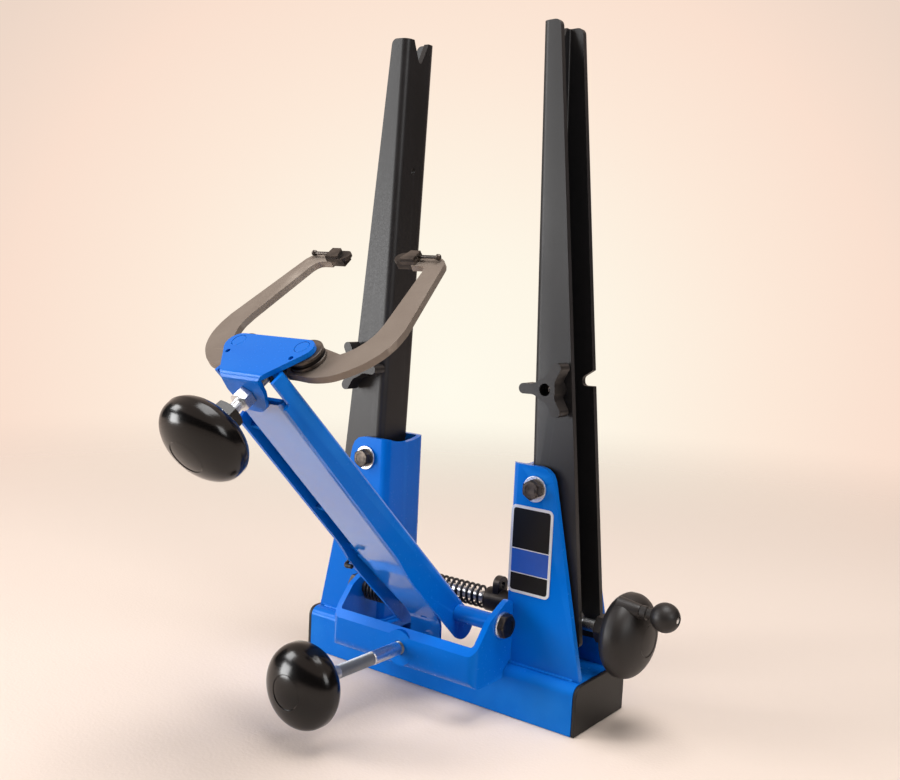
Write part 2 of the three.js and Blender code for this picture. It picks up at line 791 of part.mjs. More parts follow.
function crankSpinner() {
  const start = crankBossX + seatGap;
  const ballX = start + crankStubLength;
  const neck = Math.acos(crankStubTopRadius / crankBallRadius);
  const points = [[0, start], [crankStubRadius, start]];
  for (let i = 0; i < crankBallSteps; i += 1) {
    const angle = -neck + ((Math.PI / 2 + neck) * i) / crankBallSteps;
    points.push([crankBallRadius * Math.cos(angle), ballX + crankBallRadius * Math.sin(angle)]);
  }
  points.push([0, ballX + crankBallRadius]);
  const bore = bar('x', crankPinRadius + seatGap, start - overrun, crankPinEnd + seatGap, crankCentre,
    smallSides);
  return turned('x', points, crankCentre, roundSides).subtract(bore);
}

// Caliper bracket

const bracketHalf = bracketWidth / 2;
const earInner = bracketHalf - bracketWall;
const bracketRearY = housingFrontY - seatGap;

function caliperBracket() {
  const depth = bracketRearY - bracketFrontY;
  const plan = roundedOutline(channelCorners(depth + overrun, bracketHalf, bracketWall, bracketBend)
    .map(([a, b, radius]) => [b, bracketFrontY + a, radius]));
  const folded = prism('z', plan, bracketBottomZ, bracketPeakZ);
  const baseClearY = baseFrontY - seatGap;
  const ear = roundedOutline([
    [bracketFrontY, bracketBottomZ, bracketCorner], [bracketFrontY, bracketLipZ],
    [bracketShoulderY, bracketShoulderZ, bracketCorner], [bracketPeakY, bracketPeakZ, bracketPeakRound],
    [bracketRearY, bracketPeakZ - bracketPeakRound / 2, bracketPeakRound / 2],
    [bracketRearY, bracketRearFootZ], [baseFrontY + baseBend, bracketRearFootZ],
    [baseClearY, baseTopZ - baseBend / 2], [baseClearY, bracketBottomZ],
  ]);
  const profile = prism('x', ear, -bracketHalf - overrun, bracketHalf + overrun);
  const bumpRadius = bracketLipZ + bumpRise - radialZ;
  const bump = bar('y', bumpRadius, bracketFrontY, bracketFrontY + bracketWall, [0, radialZ]);
  const screwHole = bar('y', radialRadius + holeClearance, bracketFrontY - overrun,
    bracketFrontY + bracketWall + overrun, [0, radialZ], smallSides);
  const boltHole = bar('x', armBoltRadius + holeClearance, -bracketHalf - overrun, bracketHalf + overrun,
    [armPivotY, armPivotZ], smallSides);
  return folded.intersect(profile).add(bump).subtract(screwHole).subtract(boltHole);
}

function bracketNut() {
  const from = bracketFrontY + bracketWall + seatGap;
  const to = from + radialNutHeight;
  const thread = bar('y', radialRadius + seatGap, from - overrun, to + overrun, [0, radialZ], smallSides);
  return hexagon('y', radialNutFlats, from, to, [0, radialZ]).subtract(thread);
}

// Lower screw

const tailFaceY = armPivotY - tailFaceOut;
const radialDiscY = tailFaceY - seatGap - radialNose;
const radialScrewEnd = radialDiscY - radialPadThickness - seatGap;

function radialTip() {
  const stemFrom = radialScrewEnd - radialPadStem;
  const points = [
    [0, stemFrom], [radialPadStemRadius, stemFrom], [radialPadStemRadius, radialDiscY - radialPadThickness],
    [radialPadRadius, radialDiscY - radialPadThickness], [radialPadRadius, radialDiscY],
    [radialNose, radialDiscY],
  ];
  for (let i = 1; i < radialNoseSteps; i += 1) {
    const angle = (Math.PI / 2) * (i / radialNoseSteps);
    points.push([radialNose * Math.cos(angle), radialDiscY + radialNose * Math.sin(angle)]);
  }
  points.push([0, radialDiscY + radialNose]);
  return turned('y', points, [0, radialZ], smallSides);
}

function radialScrew() {
  const from = radialKnobY + knobBack + knobHubLength - knobBoreDepth + seatGap;
  const socket = bar('y', radialPadStemRadius + seatGap, radialScrewEnd - radialPadStem - seatGap,
    radialScrewEnd + overrun, [0, radialZ], smallSides);
  return bar('y', radialRadius, from, radialScrewEnd, [0, radialZ]).subtract(socket);
}

// Arm pivot

function armBolt() {
  const centre = [armPivotY, armPivotZ];
  const headX = bracketHalf + seatGap;
  const end = -bracketHalf - seatGap - armNutHeight - armThreadEnd;
  return hexagon('x', armBoltHeadFlats, headX, headX + armBoltHeadHeight, centre)
    .add(bar('x', armBoltRadius, end, headX + armBoltHeadHeight / 2, centre, smallSides));
}

function armNut() {
  const centre = [armPivotY, armPivotZ];
  const to = -bracketHalf - seatGap;
  const thread = bar('x', armBoltRadius + seatGap, to - armNutHeight - overrun, to + overrun, centre,
    smallSides);
  return hexagon('x', armBoltHeadFlats, to - armNutHeight, to, centre).subtract(thread);
}

function armSpacer(side, radius) {
  const faces = between(side * (armHalfWidth + seatGap), side * (earInner - seatGap));
  return ring('x', radius, armBoltRadius + holeClearance, ...faces, [armPivotY, armPivotZ]);
}

// Arm, in its own frame: x across, y from front to rear as c, z up the arm as u

const armLean = THREE.MathUtils.degToRad(armLeanDegrees);
const headTurn = armLean - THREE.MathUtils.degToRad(headPitchDegrees);

// Where a place in the stand's side view lies in the arm's own frame, as [c, u]
function inArm(y, z) {
  const dy = y - armPivotY;
  const dz = z - armPivotZ;
  return [dy * Math.cos(armLean) + dz * Math.sin(armLean), dz * Math.cos(armLean) - dy * Math.sin(armLean)];
}

// How far up the arm a plane at depth n in the head lies, at a given c
function headLine(c, n) {
  return headReach + n / Math.cos(headTurn) - (c - headC) * Math.tan(headTurn);
}

function armChannel() {
  const deep = armRearC - armBulgeC;
  const section = roundedOutline(channelCorners(deep + overrun, armHalfWidth, armWall, armBend)
    .map(([a, b, radius]) => [b, armRearC - a, radius]));
  const under = -headThickness - seatGap;
  const footRadius = deep / 2;
  const top = headLine(armFrontC, under);
  const folded = prism('z', section, -armFootReach - footRadius, top);
  const side = new THREE.Shape();
  side.moveTo(armTopFrontC, headLine(armTopFrontC, under));
  side.lineTo(armFrontC, armStraightReach);
  side.bezierCurveTo(armFrontC, (armStraightReach + armBulgeReach) / 2, armBulgeC,
    (armStraightReach + armBulgeReach) / 2, armBulgeC, armBulgeReach);
  side.lineTo(armBulgeC, -armFootReach);
  side.absarc(armBulgeC + footRadius, -armFootReach, footRadius, Math.PI, 2 * Math.PI, false);
  side.lineTo(armRearC, headLine(armRearC, under));
  const profile = prism('x', side, -armHalfWidth - overrun, armHalfWidth + overrun,
    armSideSteps);
  const halfCut = armHalfWidth - armBend;
  const webFaces = [armRearC - armWall - overrun, armRearC + overrun];
  const webTop = block(-armWindowHalf, armWindowHalf, ...webFaces, armWebEnd, top + overrun);
  const webFoot = block(-halfCut, halfCut, ...webFaces, -armFootReach - footRadius - overrun, armWebStart);
  const notch = block(-armHalfWidth - overrun, armHalfWidth + overrun, armFrontC - overrun, armNotchC,
    armNotchReach, top + overrun);
  const boltHole = bar('x', armBoltRadius + holeClearance, -armHalfWidth - overrun, armHalfWidth + overrun,
    [0, 0], smallSides);
  const tabFaces = [innerFrontC - holeClearance - armWall, innerFrontC - holeClearance];
  const tab = bar('y', lugTabRadius, ...tabFaces, [armWall - armHalfWidth, lugTabReach])
    .intersect(block(armWall / 2 - armHalfWidth, 0, ...tabFaces, lugTabReach - lugTabRadius,
      lugTabReach + lugTabRadius));
  return folded.intersect(profile).subtract(webTop).subtract(webFoot).subtract(notch).subtract(boltHole)
    .add(tab);
}

// The outline of a bent sheet: its front edge points [a, b, radius], and the same set back by its wall
function bentSheet(front, wall) {
  const back = front.map(([a, b, radius = 0], i) => {
    const here = new THREE.Vector2(a, b);
    const sides = [front[i - 1], front[i + 1]].filter(Boolean)
      .map(([p, q], k) => new THREE.Vector2(p, q).sub(here)
        .multiplyScalar(i > 0 && k === 0 ? -1 : 1).normalize());
    const normals = sides.map((way) => new THREE.Vector2(-way.y, way.x));
    const mid = normals.reduce((sum, way) => sum.add(way), new THREE.Vector2()).normalize();
    const spot = here.addScaledVector(mid, wall / mid.dot(normals[normals.length - 1].clone().normalize()));
    return [spot.x, spot.y, radius > 0 ? radius + wall : 0];
  });
  return roundedOutline([...front, ...back.reverse()]);
}

function innerFaceC(u) {
  const [bendC, bendU] = inArm(tailFaceY, tailBendZ);
  return u > innerBendReach ? innerFrontC
    : innerFrontC + ((bendC - innerFrontC) * (innerBendReach - u)) / (innerBendReach - bendU);
}

function armInnerChannel() {
  const section = roundedOutline(channelCorners(innerDepth, innerHalfWidth, innerWall, innerBend)
    .map(([a, b, radius]) => [b, innerFrontC + a, radius]));
  const sides = prism('z', section, innerBendReach, innerTop);
  const sheet = prism('x', bentSheet([
    [innerFrontC, innerBendReach + innerWall], [innerFrontC, innerBendReach, tailBendRadius],
    [...inArm(tailFaceY, tailBendZ), tailBendRadius], inArm(tailFaceY, tailEndZ),
  ], innerWall), -innerHalfWidth, innerHalfWidth);
  const [endC, endU] = inArm(tailFaceY, tailEndZ);
  const [, bendU] = inArm(tailFaceY, tailBendZ);
  const shape = new THREE.Shape();
  shape.moveTo(-innerHalfWidth, innerBendReach + innerWall + overrun);
  [-1, 1].forEach((side) => {
    const low = [side * tailHalfWidth, bendU];
    const high = [side * innerHalfWidth, tailShoulderReach];
    const knee = [side * tailHalfWidth, (tailShoulderReach + bendU) / 2];
    if (side < 0) {
      shape.lineTo(...high);
      shape.quadraticCurveTo(...knee, ...low);
      shape.lineTo(low[0], endU - innerWall - overrun);
    } else {
      shape.lineTo(low[0], endU - innerWall - overrun);
      shape.lineTo(...low);
      shape.quadraticCurveTo(...knee, ...high);
      shape.lineTo(high[0], innerBendReach + innerWall + overrun);
    }
  });
  const plate = sheet.intersect(prism('y', shape, endC - overrun, armRearC, tailSteps));
  const [slotC, slotU] = inArm(tailFaceY, tailBendZ + tailSlotRise);
  const slot = block(-tailSlotHalfWidth, tailSlotHalfWidth, slotC - 2 * innerWall, slotC + 2 * innerWall,
    slotU - tailSlotHeight / 2, slotU + tailSlotHeight / 2);
  let whole = sides.add(plate).subtract(slot);
  [0, 1, 2].forEach((step) => {
    const u = rungReach + (step * (innerTop - rungTopInset - rungReach)) / 2;
    const face = innerFaceC(u);
    const rung = block(innerHalfWidth - innerWall, armHalfWidth - armWall - seatGap, face + seatGap,
      face + innerWall - seatGap, u, u + rungHeight);
    const twin = block(armWall + seatGap - armHalfWidth, innerWall - innerHalfWidth, face + seatGap,
      face + innerWall - seatGap, u, u + rungHeight);
    whole = whole.add(rung).add(twin);
  });
  return whole;
}

function armSpring() {
  const radius = armSpringOuterRadius - armSpringWireRadius;
  const from = seatGap - earInner;
  const to = -armHalfWidth - holeClearance - armSpringWireRadius;
  const straight = 2 * armSpringWireRadius;
  const turns = (to - from - straight) / armSpringPitch;
  const steps = Math.round(turns * springSteps);
  const at = (i, x) => {
    const angle = Math.PI + (2 * Math.PI * (steps - i)) / springSteps;
    return new THREE.Vector3(x, radius * Math.cos(angle), radius * Math.sin(angle));
  };
  const points = [at(0, from)];
  for (let i = 0; i <= steps; i += 1) {
    points.push(at(i, from + straight + ((to - from - straight) * i) / steps));
  }
  const hookC = armBulgeC - seatGap - 2 * armSpringWireRadius;
  const leg = new THREE.CatmullRomCurve3([
    new THREE.Vector3(to, -radius, straight), new THREE.Vector3(to, -radius, armSpringLegReach / 2),
    new THREE.Vector3(to, -radius, armSpringLegReach - 2 * straight),
    new THREE.Vector3(to, (hookC - radius) / 2, armSpringLegReach - straight / 2),
    new THREE.Vector3(to + straight / 2, hookC, armSpringLegReach),
    new THREE.Vector3(to + 2 * straight, hookC, armSpringLegReach),
    new THREE.Vector3(to + 2 * straight + armWall, hookC, armSpringLegReach),
  ]);
  for (let i = 0; i <= springLegSteps; i += 1) points.push(leg.getPoint(i / springLegSteps));
  console.log('arm spring, least gap', leastGap(points, armSpringWireRadius).toFixed(2));
  return wire(points, armSpringWireRadius);
}

// Head plate, in its own frame: x across, y rearwards up the slope, z out of the plate

const screwN = jawTopN - jawThickness / 2;

// Where the plate's rear and side edges would meet if its rear corners weren't rounded
function headSharpHalfWidth() {
  const along = headRear - headCornerRadius + headFront;
  const across = headHalfWidth - headCornerRadius - headFrontHalfWidth;
  const angle = Math.atan2(along, across) - Math.asin(headCornerRadius / Math.hypot(along, across));
  return headFrontHalfWidth + (headRear + headFront) / Math.tan(angle);
}

function headPlate() {
  const outline = roundedOutline([
    [headSharpHalfWidth(), headRear, headCornerRadius], [-headSharpHalfWidth(), headRear, headCornerRadius],
    [-headFrontHalfWidth, -headFront, headFrontRadius], [headFrontHalfWidth, -headFront, headFrontRadius],
  ]);
  const plate = prism('z', outline, -headThickness, 0);
  const tabOutline = roundedOutline([
    [headFrontHalfWidth, 0], [headFrontHalfWidth, -tabShoulder, tabBottomRadius / 2],
    [tabBottomRadius, -tabDepth, tabBottomRadius], [-tabBottomRadius, -tabDepth, tabBottomRadius],
    [-headFrontHalfWidth, -tabShoulder, tabBottomRadius / 2], [-headFrontHalfWidth, 0],
  ]);
  const tab = prism('y', tabOutline, -headFront, tabWall - headFront);
  const rounding = prism('x', roundedOutline([
    [-headFront, -tabDepth - overrun], [-headFront, 0, headBend], [headRear + overrun, 0],
    [headRear + overrun, -tabDepth - overrun],
  ]), -headHalfWidth - overrun, headHalfWidth + overrun);
  const through = [-headThickness - overrun, overrun];
  let whole = plate.add(tab).intersect(rounding);
  [-1, 1].forEach((side) => {
    whole = whole
      .subtract(bar('z', jawPinRadius + seatGap, ...through, [side * jawPivotSpread, 0]))
      .subtract(bar('z', dimpleRadius, ...through, [side * jawPivotSpread, -dimpleBack], smallSides));
  });
  return whole.subtract(bar('y', caliperScrewRadius + holeClearance, -headFront - overrun,
    tabWall - headFront + overrun, [0, screwN], smallSides));
}

// Jaws

// Places on a jaw's outer and inner edges, outwards as shares of its spread and along as shares of its reach
const jawOuterShares = [[0.25, -0.125], [0.49, -0.098], [0.66, -0.042], [0.81, 0.032], [0.92, 0.132],
  [0.96, 0.235], [0.95, 0.335]];
const jawEndShares = [[0.68, 0.89], [0.65, 1], [0.46, 1], [0.07, 1], [0.07, 0.915], [0.3, 0.915],
  [0.425, 0.915], [0.44, 0.82]];
const jawInnerShares = [[0.59, 0.36], [0.595, 0.27], [0.55, 0.19], [0.47, 0.125], [0.36, 0.08]];

function jaw(side) {
  const place = ([out, along]) => new THREE.Vector2(
    side * (jawPivotSpread + out * jawSpread), along * jawReach);
  const spot = (out, along) => [side * (jawPivotSpread + out), along];
  const shape = new THREE.Shape();
  shape.moveTo(...spot(-jawLever, -jawLeverFace));
  shape.lineTo(...spot(jawLeverFlat - jawLever, -jawLeverFace));
  shape.lineTo(...spot(-jawLever / 2, -jawHubFront));
  shape.lineTo(...spot(0, -jawHubFront));
  shape.splineThru(jawOuterShares.map(place));
  const [outerEnd, outerCorner, topStart, topEnd, innerEnd, bendStart, bendCorner, bendEnd] =
    jawEndShares.map((share) => place(share).toArray());
  shape.lineTo(...outerEnd);
  shape.quadraticCurveTo(...outerCorner, ...topStart);
  shape.lineTo(...topEnd);
  shape.lineTo(...innerEnd);
  shape.lineTo(...bendStart);
  shape.quadraticCurveTo(...bendCorner, ...bendEnd);
  shape.lineTo(...place(jawInnerShares[0]).toArray());
  shape.splineThru(jawInnerShares.slice(1).map(place));
  shape.lineTo(...spot(0, jawHubFront));
  shape.lineTo(...spot(-jawLever / 2, jawHubRear));
  shape.lineTo(...spot(-jawLever, jawLeverRear));
  const body = prism('z', shape, jawTopN - jawThickness, jawTopN, jawSteps);
  const through = [jawTopN - jawThickness - overrun, jawTopN + overrun];
  const pinHole = bar('z', jawPinRadius + seatGap, ...through, [side * jawPivotSpread, 0]);
  return body.subtract(pinHole);
}

function jawPin(side) {
  const centre = [side * jawPivotSpread, 0];
  const headTop = jawTopN - jawThickness - seatGap;
  return bar('z', jawPinRadius, headTop - jawPinHeadHeight, 0, centre)
    .add(bar('z', jawPinHeadRadius, headTop - jawPinHeadHeight, headTop, centre));
}

function jawWasher(side) {
  return ring('z', jawWasherRadius, jawPinRadius + seatGap, jawTopN + seatGap, -headThickness - seatGap,
    [side * jawPivotSpread, 0]);
}

const tipLow = jawTopN + seatGap;
const tipPinN = tipLow + tipPinBallRadius;
const tipPinR = tipR + tipHalfDepth - tipPinBallRadius - tipPinBack;

function jawTip(side) {
  const top = tipLow + tipThickness;
  const faces = [tipR - tipHalfDepth, tipR + tipHalfDepth];
  const body = block(...between(side * tipInner, side * tipOuter), ...faces, tipLow, top);
  const nose = block(...between(side * tipInner, side * tipNoseEnd), ...faces, tipLow - tipNoseDrop, top);
  const step = block(...between(side * (tipInner - overrun), side * tipStepS), faces[0] - overrun,
    faces[1] + overrun, top - tipStepHeight, top + overrun);
  const depths = between(side * tipSocketS, side * (tipOuter + overrun));
  const socket = bar('x', tipPinRadius + seatGap, ...depths, [tipPinR, tipPinN], smallSides);
  return body.add(nose).subtract(step).subtract(socket);
}

// The thin pin with a ball end that turns a tip round
function tipScrew(side) {
  const from = side * (tipSocketS + seatGap);
  const pin = bar('x', tipPinRadius, ...between(from, side * tipPinEnd), [tipPinR, tipPinN], smallSides / 2);
  const ball = new THREE.SphereGeometry(tipPinBallRadius, smallSides / 2, smallSides / 4);
  ball.translate(side * tipPinEnd, tipPinR, tipPinN);
  return pin.add(solidOf(ball));
}

// Upper screw and its pusher between the jaws' inner ends

const pusherFace = -jawLeverFace - seatGap;

function caliperPusher() {
  const from = pusherFace - pusherLength;
  const socket = bar('y', caliperScrewRadius + seatGap, from - overrun, from + pusherLength / 2, [0, screwN],
    smallSides);
  return block(-pusherHalfWidth, pusherHalfWidth, from, pusherFace, screwN - pusherHeight / 2,
    screwN + pusherHeight / 2).subtract(socket);
}

function caliperScrew() {
  const from = caliperKnobR + knobBack + knobHubLength - knobBoreDepth + seatGap;
  const to = pusherFace - pusherLength / 2 - seatGap;
  return bar('y', caliperScrewRadius, from, to, [0, screwN], smallSides);
}

function caliperNut() {
  const to = -headFront - seatGap;
  const from = to - caliperNutHeight;
  const thread = bar('y', caliperScrewRadius + seatGap, from - overrun, to + overrun, [0, screwN],
    smallSides);
  return hexagon('y', caliperNutFlats, from, to, [0, screwN]).subtract(thread);
}

// Clamp knobs, in the upright's frame

function clampKnob(side) {
  const centre = [side * clampOut, clampRise];
  const back = -halfUpright - seatGap;
  const front = back - clampHubThickness;
  const armBack = front + clampThickness;
  const armLength = clampReach - clampArmHalfWidth;
  let knob = bar('y', clampHubRadius, front, back, centre);
  [0, 1, 2].forEach((k) => {
    const angle = Math.PI + (2 * Math.PI * k) / 3;
    const way = new THREE.Vector2(side * Math.cos(angle), Math.sin(angle));
    const across = new THREE.Vector2(-way.y, way.x);
    const tip = [centre[0] + way.x * armLength, centre[1] + way.y * armLength];
    const corners = [[0, -1], [armLength, -1], [armLength, 1], [0, 1]].map(([along, edge]) => [
      centre[0] + way.x * along + across.x * edge * clampArmHalfWidth,
      centre[1] + way.y * along + across.y * edge * clampArmHalfWidth]);
    knob = knob.add(prism('y', outlineOf(corners), front, armBack))
      .add(bar('y', clampArmHalfWidth, front, armBack, tip, smallSides));
  });
  const recess = bar('y', clampRecessRadius, front - overrun, front + clampRecessDepth, centre, smallSides);
  const bore = bar('y', clampStudRadius + seatGap, front, back + overrun, centre, smallSides);
  return knob.subtract(recess).subtract(bore);
}

const clampNutY = uprightWall - halfUpright + seatGap;

function clampStud(side) {
  const from = -halfUpright - seatGap - clampHubThickness + clampRecessDepth;
  return bar('y', clampStudRadius, from, clampNutY + clampNutHeight + clampThreadEnd,
    [side * clampOut, clampRise], smallSides);
}

function clampNut(side) {
  const centre = [side * clampOut, clampRise];
  const thread = bar('y', clampStudRadius + seatGap, clampNutY - overrun,
    clampNutY + clampNutHeight + overrun, centre, smallSides);
  return hexagon('y', clampNutFlats, clampNutY, clampNutY + clampNutHeight, centre).subtract(thread);
}

// Assembly

addPiece('base_channel', baseChannel(), finish.blue);
addPiece('caliper_bracket', caliperBracket(), finish.blue);
addPiece('bracket_nut', bracketNut(), finish.steel);
addPiece('bearing_sleeve', bearingSleeve(), finish.dark);
addPiece('adjusting_screw', adjustingScrew(), finish.steel);
addPiece('spring_collar', springCollar(), finish.dark);
addPiece('adjusting_spring', adjustingSpring(), finish.dark);
addPiece('jam_nut', jamNut(), finish.steel);
addPiece('side_knob', sideKnob(), finish.plastic);
addPiece('crank_pin', crankPin(), finish.steel);
addPiece('crank_spinner', crankSpinner(), finish.plastic);

[['left', -1], ['right', 1]].forEach(([name, side]) => {
  const pivot = [side * uprightPivotX, uprightPivotZ];
  addPiece(`end_cap_${name}`, endCap(side), finish.plastic);
  addPiece(`housing_${name}`, housing(side), finish.blue);
  addPiece(`pivot_bolt_${name}`, pivotBolt(pivot), finish.dark);
  addPiece(`pivot_nut_${name}`, pivotNut(pivot), finish.steel);
  addPiece(`pivot_washer_${name}`, pivotWasher(pivot), finish.steel);
  addPiece(`pivot_spacer_front_${name}`, pivotSpacer(-1, pivot), finish.plastic);
  addPiece(`pivot_spacer_rear_${name}`, pivotSpacer(1, pivot), finish.plastic);
  addPiece(`trunnion_${name}`, trunnion(side), finish.brass);
  const leaning = new THREE.Group();
  leaning.position.set(pivot[0], wheelPlaneY, pivot[1]);
  leaning.rotation.y = -side * lean;
  stand.add(leaning);
  addPiece(`upright_${name}`, upright(side), finish.black, leaning);
  addPiece(`clamp_knob_${name}`, clampKnob(side), finish.plastic, leaning);
  addPiece(`clamp_stud_${name}`, clampStud(side), finish.steel, leaning);
  addPiece(`clamp_nut_${name}`, clampNut(side), finish.steel, leaning);
});

addPiece('arm_bolt', armBolt(), finish.dark);
addPiece('arm_nut', armNut(), finish.steel);
addPiece('arm_spacer_left', armSpacer(-1, springSleeveRadius), finish.dark);
addPiece('arm_spacer_right', armSpacer(1, spacerRadius), finish.blue);
addPiece('radial_tip', radialTip(), finish.steel);
addPiece('radial_screw', radialScrew(), finish.steel);
addPiece('radial_knob', mushroom('y', -1, radialKnobY, knobRadius, radialRadius, [0, radialZ]),
  finish.plastic);

const arm = new THREE.Group();
arm.position.set(0, armPivotY, armPivotZ);
arm.rotation.x = armLean;
stand.add(arm);
addPiece('arm_channel', armChannel(), finish.blue, arm);
addPiece('arm_inner_channel', armInnerChannel(), finish.blue, arm);
addPiece('arm_spring', armSpring(), finish.dark, arm);

const head = new THREE.Group();
head.position.set(0, headC, headReach);
head.rotation.x = -headTurn;
arm.add(head);
addPiece('head_plate', headPlate(), finish.blue, head);
addPiece('caliper_nut', caliperNut(), finish.steel, head);
addPiece('caliper_pusher', caliperPusher(), finish.dark, head);
addPiece('caliper_screw', caliperScrew(), finish.steel, head);
addPiece('caliper_knob', mushroom('y', -1, caliperKnobR, knobRadius, caliperScrewRadius, [0, screwN]),
  finish.plastic, head);
[['left', -1], ['right', 1]].forEach(([name, side]) => {
  addPiece(`jaw_${name}`, jaw(side), finish.jaw, head);
  addPiece(`jaw_pin_${name}`, jawPin(side), finish.blue, head);
  addPiece(`jaw_washer_${name}`, jawWasher(side), finish.dark, head);
  addPiece(`jaw_tip_${name}`, jawTip(side), finish.dark, head);
  addPiece(`tip_screw_${name}`, tipScrew(side), finish.steel, head);
});

export default stand;
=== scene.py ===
"""A bicycle wheel truing stand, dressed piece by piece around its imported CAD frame.

Sizes are in millimetres and turn into metres where a mesh is made. X runs to the right, Y to the rear
and Z up, and the origin is on the bottom edge of the base's front wall, at mid length.
"""
import logging
import math
from contextlib import contextmanager
from dataclasses import dataclass
from enum import Enum
from typing import Callable, Iterator, Sequence

import bmesh
import bpy
from mathutils import Matrix, Vector
from mathutils.geometry import interpolate_bezier


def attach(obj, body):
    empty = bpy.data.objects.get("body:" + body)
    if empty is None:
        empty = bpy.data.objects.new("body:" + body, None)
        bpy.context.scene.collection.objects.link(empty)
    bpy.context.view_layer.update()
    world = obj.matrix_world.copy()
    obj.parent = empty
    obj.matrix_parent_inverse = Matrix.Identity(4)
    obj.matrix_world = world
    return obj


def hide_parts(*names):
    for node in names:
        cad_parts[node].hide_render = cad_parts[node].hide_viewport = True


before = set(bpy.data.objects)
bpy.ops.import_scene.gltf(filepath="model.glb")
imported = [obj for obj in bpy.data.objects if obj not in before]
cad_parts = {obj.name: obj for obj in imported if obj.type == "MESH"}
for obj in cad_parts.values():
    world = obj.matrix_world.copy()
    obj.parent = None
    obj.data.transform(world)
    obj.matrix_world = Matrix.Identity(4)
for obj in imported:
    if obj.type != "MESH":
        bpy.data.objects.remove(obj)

MM = 0.001
MERGE_DISTANCE = 0.01 * MM
COARSE_PITCH = 1.25
GAP = 0.3
NUT_PLAY = 0.1
FACE_SHARE = 0.96
HEXAGON_EDGE = 0.18
THREAD_DEPTH = 0.55
THREAD_FORM = ((0, 0.0), (0, 0.12), (1, 0.45), (1, 0.58), (0, 0.92), (0, 1.0))
LOG = logging.getLogger("truing_stand")

Pair = tuple[float, float]
Triple = tuple[float, float, float]
Piece = bpy.types.Object
Tree = bpy.types.NodeTree
Socket = bpy.types.NodeSocket


# Colours and nodes


def linear(code: str) -> tuple[float, float, float, float]:
    """Turns an sRGB colour into the linear one that Blender's sockets take.

    Args:
        code: The colour as a hash sign and six hex digits.

    Returns:
        Linear red, green and blue, and an alpha of one.
    """
    shares = [int(code[i:i + 2], 16) / 255 for i in (1, 3, 5)]
    light = [s / 12.92 if s <= 0.04045 else ((s + 0.055) / 1.055) ** 2.4 for s in shares]
    return (*light, 1.0)


def add_node(tree: Tree, kind: str, values: dict | None = None, output: str | int = 0) -> Socket | None:
    """Adds one node, with its settings and links.

    Args:
        tree: The node tree that takes the node.
        kind: The node's type, without its prefix.
        values: Values and sockets by property name, input name or input number.
        output: Which of the node's outputs to hand back.

    Returns:
        That output, or None from a node without outputs.
    """
    node = tree.nodes.new(f"ShaderNode{kind}")
    for name, value in (values or {}).items():
        if isinstance(value, Socket):
            tree.links.new(value, node.inputs[name])
        elif isinstance(name, int) or name in node.inputs:
            node.inputs[name].default_value = value
        else:
            setattr(node, name, value)
    return node.outputs[output] if node.outputs else None


def blank_material(name: str) -> tuple[bpy.types.Material, Tree]:
    """Makes a material with an empty node tree.

    Args:
        name: The material's name.

    Returns:
        The material and its tree.
    """
    made = bpy.data.materials.new(name)
    made.use_nodes = True
    made.node_tree.nodes.clear()
    return made, made.node_tree


